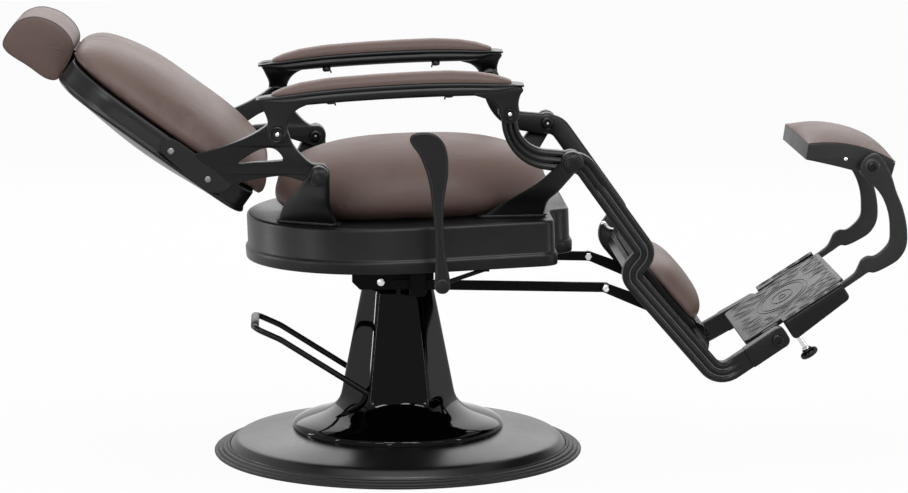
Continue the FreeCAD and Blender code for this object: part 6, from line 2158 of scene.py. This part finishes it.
    def ribs(self, middle: float) -> list[Shape]:
        """Short tapered ribs that flow round the ovals.

        Args:
            middle: place of the ovals along the plate.

        Returns:
            The ribs.
        """
        draw = np.random.default_rng(self.rib_seed)
        ribs = []
        for row in range(-self.rib_rows, self.rib_rows + 1):
            place = row * self.rib_pitch
            x = self.start + self.rib_inset[0] + float(draw.uniform(0.0, self.rib_stagger))
            while x < self.end - self.rib_inset[1] - self.rib_shortest:
                length = float(draw.uniform(*self.rib_length))
                stop = min(x + length, self.end - self.rib_inset[1])
                along = np.linspace(x, stop, 9)
                bulge = np.exp(-((along - middle) / self.rib_bulge[0]) ** 2)
                sway = self.rib_sway[0] * np.sin(along / self.rib_sway[1] + row * self.rib_shift)
                across = place + math.copysign(self.rib_bulge[1], place) * bulge + sway
                clear = np.hypot((along - middle) / self.rib_clear[0], across / self.rib_clear[1]).min()
                if clear > 1.0 and np.abs(across).max() < self.half - self.rib_border:
                    ribs.append(self.rib(at_z(np.column_stack([along, across]), self.level)))
                x = stop + float(draw.uniform(*self.rib_gap))
        return ribs

    def rib(self, line: np.ndarray) -> Shape:
        """Low rib along a line, tapered at both ends.

        Args:
            line: the rib's line.

        Returns:
            The shape.
        """
        rings = []
        for index, place in enumerate(line):
            ahead = line[min(index + 1, len(line) - 1)] - line[max(index - 1, 0)]
            aside = np.array([-ahead[1], ahead[0], 0.0])
            aside /= np.linalg.norm(aside)
            size = 0.25 + 0.75 * math.sin(math.pi * index / (len(line) - 1))
            section = np.array(self.rib_section) * size
            rings.append(place + np.outer(section[:, 0], aside) + np.outer(section[:, 1], (0.0, 0.0, 1.0)))
        return loft(rings)

    def blocks(self) -> Shape:
        """Side blocks that guide the heel arms.

        Returns:
            The shape.
        """
        shapes = [slab(self.wall, [8.0, 9.0, 3.0, 3.0], self.wall_layer, 4.5),
                  slab(self.floor, [4.0, 4.0, 0.5, 0.5], self.floor_layer, 0.3),
                  slab(self.tongue, [0.6] * 6, self.tongue_layer, 0.3)]
        return total(shapes).placed(FOOT_FRAME).both()

    def plunger_pin(self) -> Shape:
        """Bright latch pin."""
        return turned(self.pin, 32).placed(FOOT_FRAME @ Matrix.Translation(self.latch_place))

    def plunger_knob(self) -> Shape:
        """Knurled knob on the end of the pin.

        Returns:
            The shape.
        """
        turns = circle(96)
        teeth = 0.028 * np.cos(turns * 16)
        rings = []
        for radius, z, depth in self.knob:
            reach = radius * (1 + teeth * depth)
            rings.append(at_z(polar(reach, turns), z))
        return loft(rings).placed(FOOT_FRAME @ Matrix.Translation(self.latch_place))

    def heel_arms(self) -> Shape:
        """Two bent arms, each with a stepped knuckle where it leaves its block, and their tie.

        Returns:
            The shape.
        """
        arm = plate([even(spline(self.heel_outline, 8), 3.0)], *self.arm_layer, 3.4)
        radius, half = self.heel_boss
        boss = rod(radius, -half, half, 2.0, BOSS_STEPS)
        boss = about_y(boss, self.heel_pivot, sum(self.arm_layer) / 2)
        tie = slab(self.tie_plan, [2.0] * 4, self.tie_layer, 1.0, 5.0).placed(LYING)
        return total([(arm + boss).both(), tie]).placed(FOOT_FRAME)

    def heel_screws(self) -> Shape:
        """Socket screws at the heel pivots.

        Returns:
            The shape.
        """
        radius, length = self.heel_shank
        head = about_y(socket_screw(9.0, 5.0), self.heel_pivot, self.heel_head)
        shank = about_y(rod(radius, 0.0, length), self.heel_pivot, self.heel_head - length)
        return (head + shank).both().placed(FOOT_FRAME)

    @staticmethod
    def bow(points: Sequence[Flat], count: int) -> np.ndarray:
        """Smooth curve through three (x, z) points from the heel pivot.

        Args:
            points: the three points.
            count: number of samples.

        Returns:
            The points.
        """
        ends = np.linspace(0.0, 1.0, count)
        one, two, three = (np.array(point) for point in points)
        share = math.dist(one, two) / (math.dist(one, two) + math.dist(two, three))
        control = (two - one * (1 - share) ** 2 - three * share ** 2) / (2 * share * (1 - share))
        curve = [one * (1 - at) ** 2 + control * 2 * at * (1 - at) + three * at * at for at in ends]
        return np.array(curve) + np.array(HEEL_PIVOT)

    def tray(self) -> Shape:
        """Hard shell under the heel pad."""
        line = np.vstack([self.bow(self.tray_low, 14), self.bow(self.tray_top, 14)[::-1]])
        return plate([even(line, 4.0)], -self.half, self.half, 1.6, 3)

    def tray_screws(self) -> Shape:
        """Small bright screws in the shell's sides."""
        place = tuple(np.add(HEEL_PIVOT, self.tray_screw_place))
        return about_y(turned(self.tray_screw, 20), place, self.half).both()

    def heel_pad(self) -> Shape:
        """Crowned pad that meets the shell's rim at its edges.

        Returns:
            The shape.
        """
        base = self.bow(self.tray_top, 41)
        slope = np.gradient(base, axis=0)
        normal = np.column_stack([-slope[:, 1], slope[:, 0]])
        normal /= np.linalg.norm(normal, axis=1)[:, None]
        wide = self.half - 1.5
        crown = (1 - np.abs(np.linspace(-1.0, 1.0, len(base))) ** 3.4) ** 0.62
        under = base[::-1] + normal[::-1] * 0.35
        rings = []
        for y in wide * np.sin(np.linspace(-1.0, 1.0, 49) * math.pi / 2):
            lift = 1.4 + self.pad_height * crown * (1 - abs(y / wide) ** 2.4)
            rings.append(at_y(np.vstack([base + normal * lift[:, None], under]), y))
        return loft(rings)


@dataclass
class Studio:
    """Floor, light and camera."""

    camera_place: Space = (-0.205, -6.255, 1.375)
    camera_turn: Space = (80.965, 0.0, -2.83)
    lens: float = 136.4
    fill: float = 0.46
    sensor: float = 36.0
    floor_reach: float = 30.0
    floor_white: float = 0.95
    floor_colour: tuple[float, ...] = (0.82, 0.82, 0.82, 1.0)
    show_size: float = 1.0
    lamps: tuple[tuple[str, Space, Space, Flat, float], ...] = (
        ("overhead", (-0.3, -0.3, 3.6), (0.0, 0.0, 0.4), (3.2, 2.2), 52.0),
        ("behind", (0.3, 3.2, 1.95), (0.0, 0.0, 0.4), (4.0, 2.2), 46.0),
        ("front_left", (-2.6, -3.2, 2.3), (0.0, 0.0, 0.5), (1.2, 1.8), 17.0),
        ("front_right", (2.8, -3.0, 2.0), (0.2, 0.0, 0.5), (1.0, 1.8), 12.0),
        ("window_left", (-1.5, -3.6, 2.3), (0.0, 0.0, 0.2), (0.7, 0.5), 32.0),
        ("window_right", (1.3, -3.6, 2.4), (0.0, 0.0, 0.2), (0.6, 0.45), 24.0),
        ("sky_left", (-0.45, -1.9, 2.6), (0.0, -0.1, 0.1), (0.5, 0.5), 26.0),
        ("sky_right", (0.5, -1.9, 2.6), (0.0, -0.1, 0.1), (0.75, 0.5), 38.0),
        ("strip_left", (-2.6, -0.95, 0.75), (0.0, 0.0, 0.3), (0.08, 1.1), 13.0),
        ("strip_far_left", (-2.5, 0.95, 0.7), (0.0, 0.0, 0.3), (0.12, 1.1), 15.0),
        ("strip_right", (2.3, -1.0, 0.75), (0.0, 0.0, 0.3), (0.06, 1.1), 9.0),
        ("low_front", (-0.605, -3.23, 0.3), (-0.47, -0.25, 0.65), (0.25, 0.4), 4.5))

    def build(self) -> None:
        """Set up the studio."""
        self.floor()
        self.world()
        self.light()
        self.camera()
        bpy.context.scene.view_settings.view_transform = "Standard"

    @staticmethod
    def seen(tree: Tree) -> Socket:
        """Mask of the rays that show the white background.

        Args:
            tree: the tree that gets the nodes.

        Returns:
            Socket that is 1 for camera, glossy and transmission rays.
        """
        path = add_node(tree, "LightPath", {})
        socket = path.outputs["Is Camera Ray"]
        for name in ("Is Glossy Ray", "Is Transmission Ray"):
            most = add_node(tree, "Math", {0: socket, 1: path.outputs[name]}, operation="MAXIMUM")
            socket = most.outputs[0]
        return socket

    def floor(self) -> None:
        """Pale floor that shows white and keeps a faint shadow."""
        mesh = bpy.data.meshes.new("floor")
        span = (-self.floor_reach, self.floor_reach)
        mesh.from_pydata([(x, y, 0.0) for x, y in rectangle(span, span)], [], [(0, 1, 2, 3)])
        material = bpy.data.materials.new("pale_floor")
        material.use_nodes = True
        tree = material.node_tree
        shader = tree.nodes["Principled BSDF"]
        wire(tree, shader, {"Base Color": self.floor_colour, "Roughness": 0.9, "Specular IOR Level": 0.1})
        share = add_node(tree, "Math", {0: self.seen(tree), 1: self.floor_white}, operation="MULTIPLY")
        glow = add_node(tree, "Emission", {})
        mix = add_node(tree, "MixShader", {0: share.outputs[0], 1: shader.outputs[0], 2: glow.outputs[0]})
        wire(tree, tree.nodes["Material Output"], {"Surface": mix.outputs[0]})
        mesh.materials.append(material)
        linked("floor", mesh)

    def world(self) -> None:
        """White surround that lights the object at a plain level."""
        world = bpy.data.worlds.new("studio")
        bpy.context.scene.world = world
        world.use_nodes = True
        tree = world.node_tree
        white = (1.0, 1.0, 1.0, 1.0)
        plain = tree.nodes["Background"]
        wire(tree, plain, {"Color": white, "Strength": self.fill})
        bright = add_node(tree, "Background", {"Color": white})
        mix = add_node(tree, "MixShader", {0: self.seen(tree), 1: plain.outputs[0], 2: bright.outputs[0]})
        wire(tree, tree.nodes["World Output"], {"Surface": mix.outputs[0]})

    def light(self) -> None:
        """Soft boxes and strips."""
        for name, place, target, size, power in self.lamps:
            lamp = bpy.data.lights.new(name, "AREA")
            lamp.shape = "RECTANGLE"
            lamp.size, lamp.size_y = size
            lamp.energy = power
            item = linked(name, lamp)
            item.location = place
            item.visible_camera = False
            # Lamps that are smaller than this many square metres show in reflections only
            item.visible_diffuse = size[0] * size[1] > self.show_size
            item.rotation_euler = (Vector(target) - Vector(place)).to_track_quat("-Z", "Y").to_euler()

    def camera(self) -> None:
        """Camera at the photograph's place."""
        camera = bpy.data.cameras.new("camera")
        camera.lens = self.lens
        camera.sensor_width = self.sensor
        item = linked("camera", camera)
        item.location = self.camera_place
        item.rotation_euler = tuple(math.radians(angle) for angle in self.camera_turn)
        bpy.context.scene.camera = item


def main() -> None:
    """Build the chair and its studio."""
    logging.basicConfig(level=logging.INFO, format="%(name)s: %(message)s")
    shop = Workshop(FinishShop())
    Studio().build()
    for assembly in (Base(), Seat(), Back(), Arms(), LegRest(), Footrest()):
        assembly.build(shop)
    LOG.info("%d pieces", shop.count)


if __name__ == "__main__":
    main()
